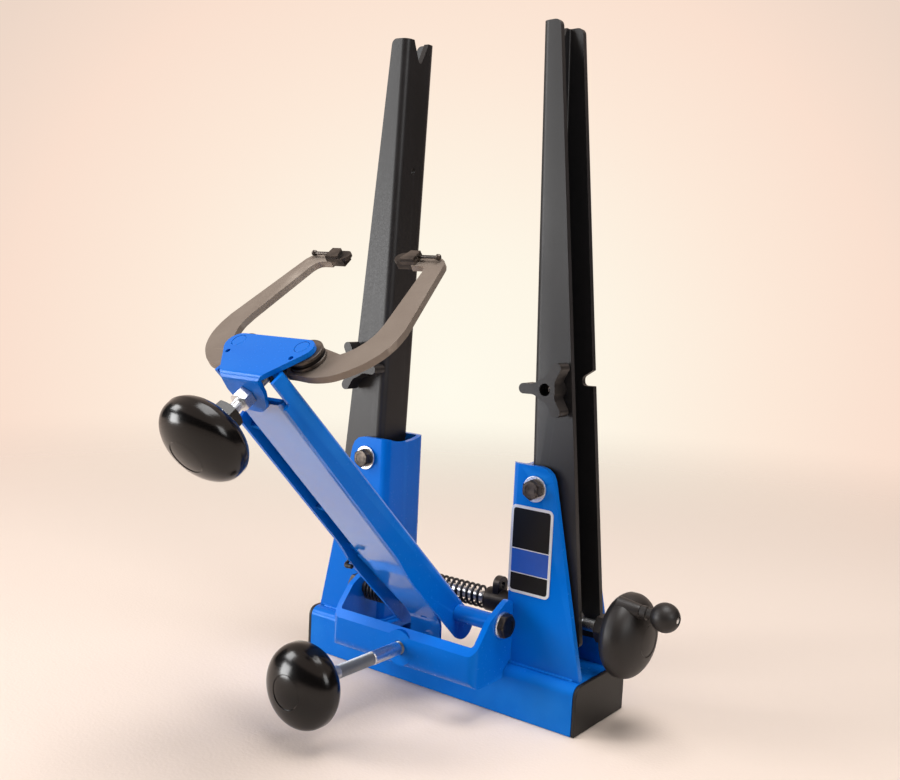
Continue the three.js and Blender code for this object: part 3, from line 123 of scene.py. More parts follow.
@dataclass(frozen=True)
class Finish:
    """One real surface: what it is made of and how it was made.

    Lengths are in millimetres: mottle is the size of its slow colour changes, grain that of its fine
    relief, and relief how high that stands. Strokes squeeze the grain along each axis, as tool marks do.
    """

    name: str
    slot: str
    colour: str
    tint: str
    metallic: float = 0.0
    roughness: Pair = (0.3, 0.4)
    mottle: float = 40.0
    grain: float = 0.5
    relief: float = 0.01
    strokes: Triple = (1.0, 1.0, 1.0)
    specular: float = 0.5
    specular_colour: str = "#FFFFFF"
    coat: float = 0.0
    coat_roughness: float = 0.05
    # The colour that convex edges are painted towards, and how far: partly wear, partly painted edge
    # highlight
    edge_wear_and_highlight: str = ""
    rubbed_share: float = 0.0

    def material(self) -> bpy.types.Material:
        """Makes the finish's material once and hands out the same one afterwards."""
        return bpy.data.materials.get(self.name) or self._build()

    def _build(self) -> bpy.types.Material:
        """Builds the node tree: slow mottle in colour, fine grain in roughness and relief, and convex edges
        painted lighter, partly as wear and partly as painted edge highlight.

        Returns:
            The new material.
        """
        made, tree = blank_material(self.name)
        place = add_node(tree, "TexCoord", output="Object")
        mottle = add_node(tree, "TexNoise", {"Scale": 1 / (self.mottle * MM), "Detail": 4.0,
                                             "Roughness": 0.6, "Vector": place})
        spread = add_node(tree, "MapRange", {"From Min": 0.3, "From Max": 0.7, "Value": mottle})
        colour = add_node(tree, "Mix", {"data_type": "RGBA", 0: spread, 6: linear(self.colour),
                                        7: linear(self.tint)}, 2)
        squeeze = add_node(tree, "Mapping", {"Scale": self.strokes, "Vector": place})
        grain = add_node(tree, "TexNoise", {"Scale": 1 / (self.grain * MM), "Detail": 3.0,
                                            "Roughness": 0.55, "Vector": squeeze})
        rough = add_node(tree, "MapRange", {"From Min": 0.3, "From Max": 0.7, "To Min": self.roughness[0],
                                            "To Max": self.roughness[1], "Value": grain})
        bump = add_node(tree, "Bump", {"Strength": 1.0, "Distance": self.relief * MM, "Height": grain})
        # Convex edges found by pointiness are painted lighter: partly wear, partly painted edge highlight
        if self.edge_wear_and_highlight:
            shape = add_node(tree, "NewGeometry", output="Pointiness")
            edge = add_node(tree, "MapRange", {"From Min": 0.51, "From Max": 0.58, "Value": shape})
            patch = add_node(tree, "Math", {"operation": "MULTIPLY", 0: edge, 1: spread})
            worn_and_highlit = add_node(tree, "Math", {"operation": "MULTIPLY", 0: patch, 1: self.rubbed_share})
            colour = add_node(tree, "Mix", {"data_type": "RGBA", 0: worn_and_highlit, 6: colour,
                                            7: linear(self.edge_wear_and_highlight)}, 2)
        surface = add_node(tree, "BsdfPrincipled", {
            "Metallic": self.metallic, "Specular IOR Level": self.specular,
            "Specular Tint": linear(self.specular_colour), "Coat Weight": self.coat,
            "Coat Roughness": self.coat_roughness, "Base Color": colour, "Roughness": rough,
            "Normal": bump})
        add_node(tree, "OutputMaterial", {"Surface": surface})
        made.diffuse_color = linear(self.colour)
        return made


# Gloss baked enamel sprayed on folded steel: deep even blue whose own pigment tints its soft reflections
ENAMEL = Finish("gloss_baked_enamel_sprayed", "blue", "#0068CC", "#0062C4", roughness=(0.22, 0.28),
                mottle=70.0, grain=2.6, relief=0.003, specular=0.3, specular_colour="#1C8CFF",
                coat=0.05, coat_roughness=0.1, edge_wear_and_highlight="#2A8BE6", rubbed_share=0.5)
# The same enamel pooled thick in the arm's nested channel: glassier, so it shows the pale floor
POOLED_ENAMEL = Finish("gloss_baked_enamel_pooled", "blue", "#0F6CC8", "#0B67C2", roughness=(0.1, 0.16),
                       mottle=70.0, grain=3.0, relief=0.004, specular=0.8, coat=1.0, coat_roughness=0.03,
                       edge_wear_and_highlight="#2A8BE6", rubbed_share=0.4)
# Polyester powder coat, baked: satin black with a fine even pebble that breaks up highlights
POWDER = Finish("satin_powder_coat_baked", "black", "#0F0F11", "#0C0B0D", roughness=(0.4, 0.5),
                mottle=30.0, grain=0.9, relief=0.02, specular=0.45, edge_wear_and_highlight="#2C2C30", rubbed_share=0.5)
# Moulded phenolic plastic, tumbled: near black and polished, with clear highlights
KNOB_PLASTIC = Finish("phenolic_plastic_moulded", "knob", "#0E0C0C", "#0A0909", roughness=(0.16, 0.22),
                      mottle=18.0, grain=0.9, relief=0.003, specular=0.35, edge_wear_and_highlight="#2A2625",
                      rubbed_share=0.4)
# The same plastic with a satin face from the mould: the right knob, its spinner and the clamp knobs
SATIN_PLASTIC = Finish("phenolic_plastic_satin", "knob", "#141111", "#0F0D0D", roughness=(0.42, 0.5),
                       mottle=18.0, grain=0.7, relief=0.012, specular=0.45, edge_wear_and_highlight="#2E2A29",
                       rubbed_share=0.4)
# Moulded polyethylene: black, softer and a little greyer than the knobs
CAP_PLASTIC = Finish("polyethylene_moulded", "cap", "#141312", "#0F0E0E", roughness=(0.42, 0.55),
                     mottle=22.0, grain=0.8, relief=0.02, specular=0.4)
# Aluminium plate, sawn and blasted, then dark anodised: brown-grey with a fine matt grain
JAW_PLATE = Finish("dark_anodised_aluminium_blasted", "jaw", "#7B6F65", "#73675D", metallic=0.35,
                   roughness=(0.45, 0.58), mottle=30.0, grain=0.8, relief=0.03, specular=0.4,
                   edge_wear_and_highlight="#B5AA9E", rubbed_share=0.7)
# Steel blackened in hot oxide salts: dark brown-black with a dull metal sheen
BLACK_OXIDE = Finish("steel_black_oxide", "blackened", "#1E1A18", "#151211", metallic=0.6,
                     roughness=(0.32, 0.5), mottle=9.0, grain=0.6, relief=0.012,
                     edge_wear_and_highlight="#8C7F74", rubbed_share=0.6)
# Drawn spring wire, oil hardened: black with a clear dark shine along each turn
SPRING_WIRE = Finish("spring_steel_oil_hardened", "blackened", "#33353A", "#26282C", metallic=0.8,
                     roughness=(0.25, 0.4), mottle=8.0, grain=0.5, relief=0.008)
# Free-cutting brass, turned: hidden inside the uprights
TURNED_BRASS = Finish("brass_turned", "brass", "#B8924C", "#A88344", metallic=1.0,
                      roughness=(0.25, 0.4), mottle=12.0, grain=0.4, relief=0.008)
# Steel with bright zinc plate: pale silver with fine marks from turning
BRIGHT_ZINC = Finish("steel_bright_zinc_plated", "zinc", "#E4E6E8", "#D2D5D9", metallic=1.0,
                     roughness=(0.24, 0.36), mottle=10.0, grain=0.5, relief=0.008)
# The same plate worn dull by a nut: blue-grey, with the thread's crests painted lighter, partly as rubbing
# and partly as painted highlight
WORN_ZINC = Finish("steel_zinc_plated_worn", "zinc", "#8D949C", "#767D86", metallic=0.9,
                   roughness=(0.4, 0.52), mottle=7.0, grain=0.4, relief=0.012,
                   edge_wear_and_highlight="#D8DADC", rubbed_share=0.6)
# Aluminium foil plate with a black lacquered face: flat satin black
PLATE_FACE = Finish("lacquered_foil_black", "black", "#070708", "#050506", roughness=(0.28, 0.36),
                    mottle=25.0, grain=1.2, relief=0.004, specular=0.25)
# The same plate's band in blue lacquer: clear mid blue
PLATE_BAND = Finish("lacquered_foil_blue", "blue", "#1250B4", "#0F48A4", roughness=(0.28, 0.36),
                    mottle=25.0, grain=1.2, relief=0.004)
# The plate's bare brushed rim: bright silver lines
PLATE_RIM = Finish("aluminium_foil_brushed", "zinc", "#E2E4E6", "#D2D5D8", metallic=0.6,
                   roughness=(0.3, 0.42), mottle=20.0, grain=0.6, relief=0.004,
                   strokes=(0.1, 1.0, 1.0))


# Bench tools: what a modeller does by hand


def clear_selection() -> None:
    """Leaves nothing selected."""
    if bpy.context.object and bpy.context.object.mode != "OBJECT":
        bpy.ops.object.mode_set(mode="OBJECT")
    bpy.ops.object.select_all(action="DESELECT")


def take(*pieces: Piece) -> None:
    """Selects only these pieces and makes the first one active."""
    clear_selection()
    for piece in pieces:
        piece.select_set(True)
    bpy.context.view_layer.objects.active = pieces[0]


@contextmanager
def editing(piece: Piece) -> Iterator[None]:
    """Opens a piece in edit mode with everything selected, and closes it again.

    Args:
        piece: The piece to edit.

    Yields:
        Nothing.
    """
    take(piece)
    bpy.ops.object.mode_set(mode="EDIT")
    bpy.ops.mesh.select_all(action="SELECT")
    yield
    bpy.ops.object.mode_set(mode="OBJECT")


def modify(piece: Piece, kind: str, **settings: object) -> None:
    """Adds one modifier and applies it.

    Args:
        piece: The piece that takes it.
        kind: The modifier's type.
        **settings: The modifier's settings by name.
    """
    take(piece)
    modifier = piece.modifiers.new(kind.lower(), kind)
    for name, value in settings.items():
        setattr(modifier, name, value)
    bpy.ops.object.modifier_apply(modifier=modifier.name)


def smooth(piece: Piece, angle: float = 32.0) -> None:
    """Shades a piece smooth, with its flat faces kept flat.

    Args:
        piece: The piece to shade.
        angle: Edges sharper than this stay sharp, in degrees.
    """
    take(piece)
    bpy.ops.object.shade_smooth_by_angle(angle=math.radians(angle))
    modify(piece, "WEIGHTED_NORMAL", keep_sharp=True, weight=80)


def soften(piece: Piece, width: float, segments: int = 2, angle: float = 32.0, shade: float = 32.0) -> None:
    """Rounds a piece's edges, as tumbling or painting does, and shades it smooth.

    Args:
        piece: The piece to round.
        width: How wide the rounding is, in millimetres.
        segments: How many faces each rounding gets.
        angle: The least angle of an edge that is rounded, in degrees.
        shade: Edges sharper than this are shaded sharp, in degrees.
    """
    modify(piece, "BEVEL", width=width * MM, segments=segments, limit_method="ANGLE",
           angle_limit=math.radians(angle), use_clamp_overlap=True)
    smooth(piece, shade)


def merge(piece: Piece) -> None:
    """Merges a piece's doubles and turns its faces outwards."""
    with editing(piece):
        bpy.ops.mesh.remove_doubles(threshold=MERGE_DISTANCE)
        bpy.ops.mesh.normals_make_consistent(inside=False)


def put(piece: Piece, place: Matrix) -> Piece:
    """Moves a piece that was made at the origin and leaves the move in its mesh.

    Args:
        piece: The piece to move.
        place: Where it goes.

    Returns:
        The same piece.
    """
    take(piece)
    piece.matrix_world = place @ piece.matrix_world
    bpy.ops.object.transform_apply(location=True, rotation=True, scale=True)
    return piece


def join(*pieces: Piece) -> Piece:
    """Joins pieces into the first one."""
    take(*pieces)
    bpy.ops.object.join()
    return pieces[0]


def line_of(points: Sequence[Sequence[float]], closed: bool = False) -> Piece:
    """Draws a row of joined edges, one extruded vertex after another.

    Args:
        points: Places in millimetres.
        closed: Whether the last point is joined to the first.

    Returns:
        A piece of edges only.
    """
    spots = [Vector(p) * MM for p in points]
    clear_selection()
    bpy.ops.mesh.primitive_plane_add(size=MM, location=(0, 0, 0))
    piece = bpy.context.object
    with editing(piece):
        bpy.ops.mesh.merge(type="CENTER")
        bpy.ops.transform.translate(value=spots[0])
        for before, after in zip(spots, spots[1:]):
            bpy.ops.mesh.extrude_region_move(TRANSFORM_OT_translate={"value": after - before})
        if closed:
            bpy.ops.mesh.select_all(action="DESELECT")
            mesh = bmesh.from_edit_mesh(piece.data)
            for vert in mesh.verts:
                vert.select_set(len(vert.link_edges) < 2)
            mesh.select_flush_mode()
            bpy.ops.mesh.edge_face_add()
    return piece


def sweep(piece: Piece, steps: int, angle: float = 2 * math.pi) -> None:
    """Sweeps a piece's edges round the Z axis."""
    with editing(piece):
        bpy.ops.mesh.spin(steps=steps, angle=angle, center=(0, 0, 0), axis=(0, 0, 1))


def turned(profile: Sequence[Pair], steps: int = 48, shade: float = 0.0) -> Piece:
    """Turns a profile round the Z axis, as on a lathe, and closes it at both ends.

    Args:
        profile: Radius and height of each corner, in millimetres.
        steps: How many faces go round.
        shade: Shades it smooth except across edges sharper than this, unless zero.

    Returns:
        The closed turned piece.
    """
    line = [(0.0, profile[0][1]), *profile]
    if profile[-1][0] > 0:
        line.append((0.0, profile[-1][1]))
    piece = line_of([(radius, 0.0, height) for radius, height in line])
    sweep(piece, steps)
    merge(piece)
    if shade:
        smooth(piece, shade)
    return piece


def rod(radius: float, low: float, high: float, steps: int) -> Piece:
    """Turns a plain round rod."""
    return turned([(radius, low), (radius, high)], steps, 32.0)


def slab(outline: Sequence[Pair], low: float, high: float) -> Piece:
    """Cuts a flat plate to an outline in X and Y and gives it a thickness.

    Args:
        outline: The outline's corners, in millimetres.
        low: Height of its underside.
        high: Height of its top.

    Returns:
        The closed plate.
    """
    piece = line_of([(x, y, low) for x, y in outline], closed=True)
    with editing(piece):
        bpy.ops.mesh.edge_face_add()
        bpy.ops.mesh.extrude_region_move(TRANSFORM_OT_translate={"value": (0, 0, (high - low) * MM)})
    merge(piece)
    return piece


def barrel(radius: float, low: float, high: float, sides: int = 32) -> Piece:
    """Adds a plain round or many-sided bar along Z, to be shaped further.

    Args:
        radius: Its radius, in millimetres.
        low: Height of its lower end.
        high: Height of its upper end.
        sides: How many sides it has.

    Returns:
        The bar.
    """
    clear_selection()
    bpy.ops.mesh.primitive_cylinder_add(vertices=sides, radius=radius * MM, depth=(high - low) * MM,
                                        location=(0, 0, (low + high) / 2 * MM))
    bpy.ops.object.transform_apply(location=True, rotation=True, scale=True)
    return bpy.context.object


def cut(piece: Piece, tool: Piece, operation: str = "DIFFERENCE") -> Piece:
    """Cuts a piece with a tool shape, or joins or keeps what both share, and throws the tool away."""
    modify(piece, "BOOLEAN", object=tool, operation=operation, solver="EXACT")
    bpy.data.objects.remove(tool)
    return piece


def hexagon(flats: float, low: float, high: float, chamfers: tuple[bool, bool] = (True, True),
            bore: float = 0.0) -> Piece:
    """Makes a hexagon nut or bolt head with its corners turned off at 30 degrees.

    Args:
        flats: Width across its flats, in millimetres.
        low: Height of its lower end.
        high: Height of its upper end.
        chamfers: Whether the lower and the upper end are turned.
        bore: Radius of the hole through it, or zero.

    Returns:
        The hexagon, along Z.
    """
    corner = flats / math.sqrt(3)
    face = flats / 2 * FACE_SHARE
    drop = (corner - face) * math.tan(math.radians(30))
    outside, middle = corner + 1, (low + high) / 2
    lower = [(face, low), (corner, low + drop), (corner, middle)]
    upper = [(corner, middle), (corner, high - drop), (face, high)]
    if not chamfers[0]:
        lower = [(outside, low), (outside, middle)]
    if not chamfers[1]:
        upper = [(outside, middle), (outside, high)]
    piece = cut(barrel(corner, low, high, 6), turned(lower + upper), "INTERSECT")
    if bore:
        cut(piece, barrel(bore, low - 1, high + 1))
    soften(piece, HEXAGON_EDGE, 2, 20.0, 25.0)
    return piece


def thread(radius: float, pitch: float, low: float, high: float, steps: int = 28) -> Piece:
    """Cuts a screw thread along Z, with both ends trimmed square and closed.

    Args:
        radius: Outer radius, in millimetres.
        pitch: Distance from crest to crest.
        low: Height of its lower end.
        high: Height of its upper end.
        steps: How many faces go round one turn.

    Returns:
        The threaded length.
    """
    root = radius - pitch * THREAD_DEPTH
    start = low - pitch * 1.5
    piece = line_of([(radius if crest else root, 0.0, start + share * pitch) for crest, share in THREAD_FORM])
    turns = math.ceil((high - low) / pitch) + 3
    modify(piece, "SCREW", axis="Z", angle=2 * math.pi, screw_offset=pitch * MM, iterations=turns,
           steps=steps, render_steps=steps)
    merge(piece)
    for height, normal in ((low, (0, 0, -1)), (high, (0, 0, 1))):
        with editing(piece):
            bpy.ops.mesh.bisect(plane_co=(0, 0, height * MM), plane_no=normal, use_fill=True,
                                clear_outer=True)
    merge(piece)
    smooth(piece, 30.0)
    return piece


def wire(points: Sequence[Vector], radius: float, sides: int,
         swell: Callable[[int], float] = lambda i: 1.0) -> Piece:
    """Bends a round wire along points, as a closed tube.

    Args:
        points: The wire's centre line, in millimetres.
        radius: The wire's radius, in millimetres.
        sides: How finely its section is rounded.
        swell: Says how much thicker the wire is at a point's number, for weld beads.

    Returns:
        The wire as a mesh.
    """
    curve = bpy.data.curves.new("wire", "CURVE")
    curve.dimensions = "3D"
    curve.bevel_depth = radius * MM
    curve.bevel_resolution = sides
    curve.use_fill_caps = True
    spline = curve.splines.new("POLY")
    spline.points.add(len(points) - 1)
    for i, (spot, point) in enumerate(zip(spline.points, points)):
        spot.co = (*(point * MM), 1.0)
        spot.radius = swell(i)
    piece = bpy.data.objects.new("wire", curve)
    bpy.context.scene.collection.objects.link(piece)
    take(piece)
    bpy.ops.object.convert(target="MESH")
    piece = bpy.context.object
    merge(piece)
    take(piece)
    bpy.ops.object.shade_smooth()
    return piece


def arc(centre: Pair, radius: float, start: float, end: float, count: int) -> list[Pair]:
    """Spreads points evenly over an arc.

    Args:
        centre: The arc's centre.
        radius: Its radius.
        start: Where it starts, in degrees.
        end: Where it ends, in degrees.
        count: How many points it gets.

    Returns:
        The points, both ends among them.
    """
    turns = [math.radians(start + (end - start) * i / (count - 1)) for i in range(count)]
    return [(centre[0] + radius * math.cos(turn), centre[1] + radius * math.sin(turn)) for turn in turns]


def coil(radius: float, pitch: float, start: float, end: float, steps: int = 28) -> list[Vector]:
    """Winds a coil along X, in whole eighths of a turn.

    Args:
        radius: The radius of its centre line. It starts on that side of the axis in Y.
        pitch: Distance from turn to turn.
        start: Where it starts along X.
        end: Where it ends along X.
        steps: How many points one turn gets.

    Returns:
        The centre line's points.
    """
    turns = round(abs(end - start) / pitch * 8) / 8
    count = round(turns * steps)
    circle = arc((0.0, 0.0), radius, 0.0, 360 * turns, count + 1)
    return [Vector((start + (end - start) * i / count, y, z)) for i, (y, z) in enumerate(circle)]


def fit(piece: Piece, name: str, body: str, finish: Finish) -> Piece:
    """Names and dresses a finished piece and hands it to the frame.

    Args:
        piece: The finished piece, in its place.
        name: The CAD node that it stands for, or its own name where the CAD has no such node.
        body: The CAD body that it moves with.
        finish: The finish on all of it.

    Returns:
        The same piece.
    """
    in_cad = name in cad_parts
    piece.name = f"{name}_finished" if in_cad else name
    piece.data.name = piece.name
    piece.data.materials.clear()
    piece.data.materials.append(finish.material())
    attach(piece, body)
    if in_cad:
        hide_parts(name)
    LOG.info("%s: %d faces on body %s", piece.name, len(piece.data.polygons), body)
    return piece


def rounded_node(node: str, body: str, finish: Finish, width: float, segments: int = 3,
                 change: Callable[[Piece], None] | None = None) -> Piece:
    """Dresses a CAD node: a copy of its shape with clean faces, rounded edges and the real finish.

    Args:
        node: The CAD node's name.
        body: The CAD body that it moves with.
        finish: Its finish.
        width: How wide its edges are rounded, in millimetres.
        segments: How many faces each rounding gets.
        change: Changes the copy before its edges are rounded.

    Returns:
        The finished piece, which replaces the node.
    """
    piece = bpy.data.objects.new(node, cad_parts[node].data.copy())
    bpy.context.scene.collection.objects.link(piece)
    take(piece)
    if piece.data.has_custom_normals:
        bpy.ops.mesh.customdata_custom_splitnormals_clear()
    with editing(piece):
        bpy.ops.mesh.remove_doubles(threshold=MERGE_DISTANCE)
        bpy.ops.mesh.dissolve_limited(angle_limit=math.radians(0.6))
    if change:
        change(piece)
    soften(piece, width, segments)
    return fit(piece, node, body, finish)


class Side(Enum):
    """The stand's two sides, seen from the front."""

    LEFT = -1
    RIGHT = 1

    @property
    def label(self) -> str:
        """The side's name in the names of bodies and nodes."""
        return self.name.lower()


ALONG_X = Matrix.Rotation(math.pi / 2, 4, "Y")
AGAINST_Y = Matrix.Rotation(math.pi / 2, 4, "X")
ALONG_Y = Matrix.Rotation(-math.pi / 2, 4, "X")


def at(x: float, y: float, z: float) -> Matrix:
    """A move to a place in millimetres."""
    return Matrix.Translation(Vector((x, y, z)) * MM)


@dataclass
class ArmFrames:
    """Where the arm and the head lie at rest, as the CAD has them."""

    pivot_y: float = -7.5
    pivot_z: float = 73.0
    lean: float = 46.5
    head_c: float = 31.1
    head_reach: float = 282.9
    head_pitch: float = 36.0

    @property
    def arm(self) -> Matrix:
        """The arm's frame: Y runs to its rear and Z up the arm."""
        return at(0, self.pivot_y, self.pivot_z) @ Matrix.Rotation(math.radians(self.lean), 4, "X")

    @property
    def head(self) -> Matrix:
        """The head plate's frame: Y runs rearwards up the slope and Z out of the plate."""
        turn = Matrix.Rotation(math.radians(self.head_pitch - self.lean), 4, "X")
        return self.arm @ at(0, self.head_c, self.head_reach) @ turn


FRAMES = ArmFrames()


@dataclass
class Knob:
    """A mushroom knob with a hexagon hub. Its rim is at the origin and its dome faces along Z."""

    radius: float = 31.5
    dome: float = 20.0
    back: float = 13.0
    edge: float = 4.0
    hub_radius: float = 12.0
    hub_flats: float = 20.0
    hub_length: float = 11.0
    hub_bore: float = 5.0
    badge_radius: float = 12.5
    badge_depth: float = 0.45
    dome_steps: int = 22
    back_steps: int = 12

    def profile(self) -> list[Pair]:
        """The turned outline, from the hub's end round the rim to the top of the dome.

        Returns:
            Radius and height of each corner, with a shallow bare round place in the dome.
        """
        half, badge, depth = self.edge / 2, self.badge_radius, self.badge_depth
        start = Vector((self.hub_radius, -self.back))
        bend = Vector((self.radius - self.edge, -self.back))
        rim = Vector((self.radius, -half))
        points = []
        for i in range(self.back_steps + 1):
            share = i / self.back_steps
            points.append(tuple(start.lerp(bend, share).lerp(bend.lerp(rim, share), share)))
        circle = arc((0.0, 0.0), 1.0, 0, 90, self.dome_steps + 1)[:-1]
        dome = [(self.radius * x, half + (self.dome - half) * y) for x, y in circle]
        lip = half + (self.dome - half) * math.sqrt(1 - (badge / self.radius) ** 2)
        points += [spot for spot in dome if spot[0] >= badge]
        points += [(badge + 0.3, lip - 0.05), (badge, lip - depth / 2), (badge - 0.4, lip - depth)]
        points += [(radius, height - depth) for radius, height in dome if radius < badge]
        return points + [(0.0, self.dome - depth)]

    def build(self, place: Matrix) -> Piece:
        """Turns the knob, adds its hub and moves it to its place.

        Args:
            place: Where its rim's centre and axis go.

        Returns:
            The knob in its place.
        """
        hub_end = -self.back - self.hub_length
        shell = turned(self.profile(), 72, 40.0)
        hub = hexagon(self.hub_flats, hub_end, -self.back + self.edge / 2, (True, False), self.hub_bore)
        return put(join(shell, hub), place)


@dataclass(frozen=True)
class Bolt:
    """A hexagon bolt along Z with its nut. Its head has a shallow dish: a radius and a depth."""

    radius: float
    flats: float
    head_height: float
    nut_height: float
    end: float
    dish: Pair
    run_in: float = 2.0

    def build(self, back: float, nut_top: float, shank_top: float) -> tuple[Piece, Piece]:
        """Makes the bolt and the nut.

        Args:
            back: Height of the head's underside.
            nut_top: Height of the nut's upper face.
            shank_top: Height up to which the shank reaches.

        Returns:
            The bolt and the nut, round the Z axis.
        """
        top = back + self.head_height
        nut_low = nut_top - self.nut_height
        head = hexagon(self.flats, back, top, (False, True))
        cut(head, barrel(self.dish[0], top - self.dish[1], top + 1))
        shank = barrel(self.radius, nut_top - self.run_in, shank_top)
        smooth(shank)
        tail = thread(self.radius, COARSE_PITCH, nut_low - self.end, nut_top - self.run_in)
        nut = hexagon(self.flats, nut_low, nut_top, bore=self.radius + NUT_PLAY)
        return join(head, shank, tail), nut


@dataclass
class Base:
    """The folded base channel, its plastic end caps, the two housings and their label plate."""

    edge_width: float = 0.6
    cap_edge_width: float = 1.2
    plate_low: Pair = (66.2, 96.0)
    plate_high: Pair = (104.2, 165.6)
    plate_corner: float = 4.5
    plate_rim: float = 2.2
    plate_back: float = 0.05
    plate_thickness: float = 0.6
    plate_relief: float = 0.08
    plate_edge: float = 0.12
    plate_front_y: float = 7.75
    band_low: float = 112.5
    band_high: float = 131.0
    band_line: float = 0.7
    weld_radius: float = 1.7
    weld_step: float = 1.5
    weld_swell: Pair = (0.82, 1.0)
    weld_corner: tuple[Pair, Pair, Pair] = ((6.5, 0.0), (1.95, 2.0), (0.0, 6.5))
    foot_z: float = 38.7
    web_x: float = 63.5
    foot_reach: float = 65.2
    foot_front: float = 7.75
    foot_rear: float = 59.25

    def build(self) -> None:
        """Dresses the base's nodes and adds the welds and the bare label plate."""
        rounded_node("base_channel", "root", ENAMEL, self.edge_width)
        for side in Side:
            rounded_node(f"housing_{side.label}", "root", ENAMEL, self.edge_width)
            rounded_node(f"end_cap_{side.label}", "root", CAP_PLASTIC, self.cap_edge_width, 4)
            self.weld(side)
        self.label_plate()

    def weld(self, side: Side) -> None:
        """Lays a rippled weld bead round a housing's foot.

        Args:
            side: Which housing.
        """
        half = [(self.foot_reach, 0.0), *self.weld_corner]
        rows = [(x, self.foot_front + y) for x, y in half]
        rows += [(x, self.foot_rear - y) for x, y in reversed(half)]
        corners = [Vector((side.value * (self.web_x + x), y, self.foot_z)) for x, y in rows]
        points = []
        for start, end in zip(corners, corners[1:]):
            count = max(1, round((end - start).length / self.weld_step))
            points += [start.lerp(end, i / count) for i in range(count)]
        bead = wire(points + corners[-1:], self.weld_radius, 3, lambda i: self.weld_swell[i % 2])
        fit(bead, f"foot_weld_{side.label}", "root", ENAMEL)

    def rounded(self, inset: float, low: float | None = None, high: float | None = None) -> list[Pair]:
        """The plate's outline, set in from its edge and cut at two heights.

        Args:
            inset: How far it is set in.
            low: Where it is cut below, square.
            high: Where it is cut above, square.

        Returns:
            The outline's corners in X and Z.
        """
        x0, z0 = (value + inset for value in self.plate_low)
        x1, z1 = (value - inset for value in self.plate_high)
        radius = self.plate_corner - inset
        corners = ((x1, z0, low, -90), (x1, z1, high, 0), (x0, z1, high, 90), (x0, z0, low, 180))
        points = []
        for x, z, square, start in corners:
            centre = (x - radius if x == x1 else x + radius, z + radius if z == z0 else z - radius)
            points += [(x, square)] if square else arc(centre, radius, start, start + 90, 7)
        return points

    def label_plate(self) -> None:
        """Makes the bare plate on the right housing: a bright rim, a black face and one plain band."""
        rim, line = self.plate_rim, self.band_line
        layers = (
            ("label_rim", PLATE_RIM, self.rounded(0.0), 0.0),
            ("label_face_top", PLATE_FACE, self.rounded(rim, self.band_high + line), self.plate_relief),
            ("label_band", PLATE_BAND, self.rounded(rim, self.band_low, self.band_high), self.plate_relief),
            ("label_face_bottom", PLATE_FACE, self.rounded(rim, None, self.band_low - line),
             self.plate_relief),
        )
        for name, finish, outline, relief in layers:
            piece = slab(outline, self.plate_back, self.plate_thickness + relief)
            soften(piece, self.plate_edge)
            fit(put(piece, at(0, self.plate_front_y, 0) @ AGAINST_Y), name, "root", finish)


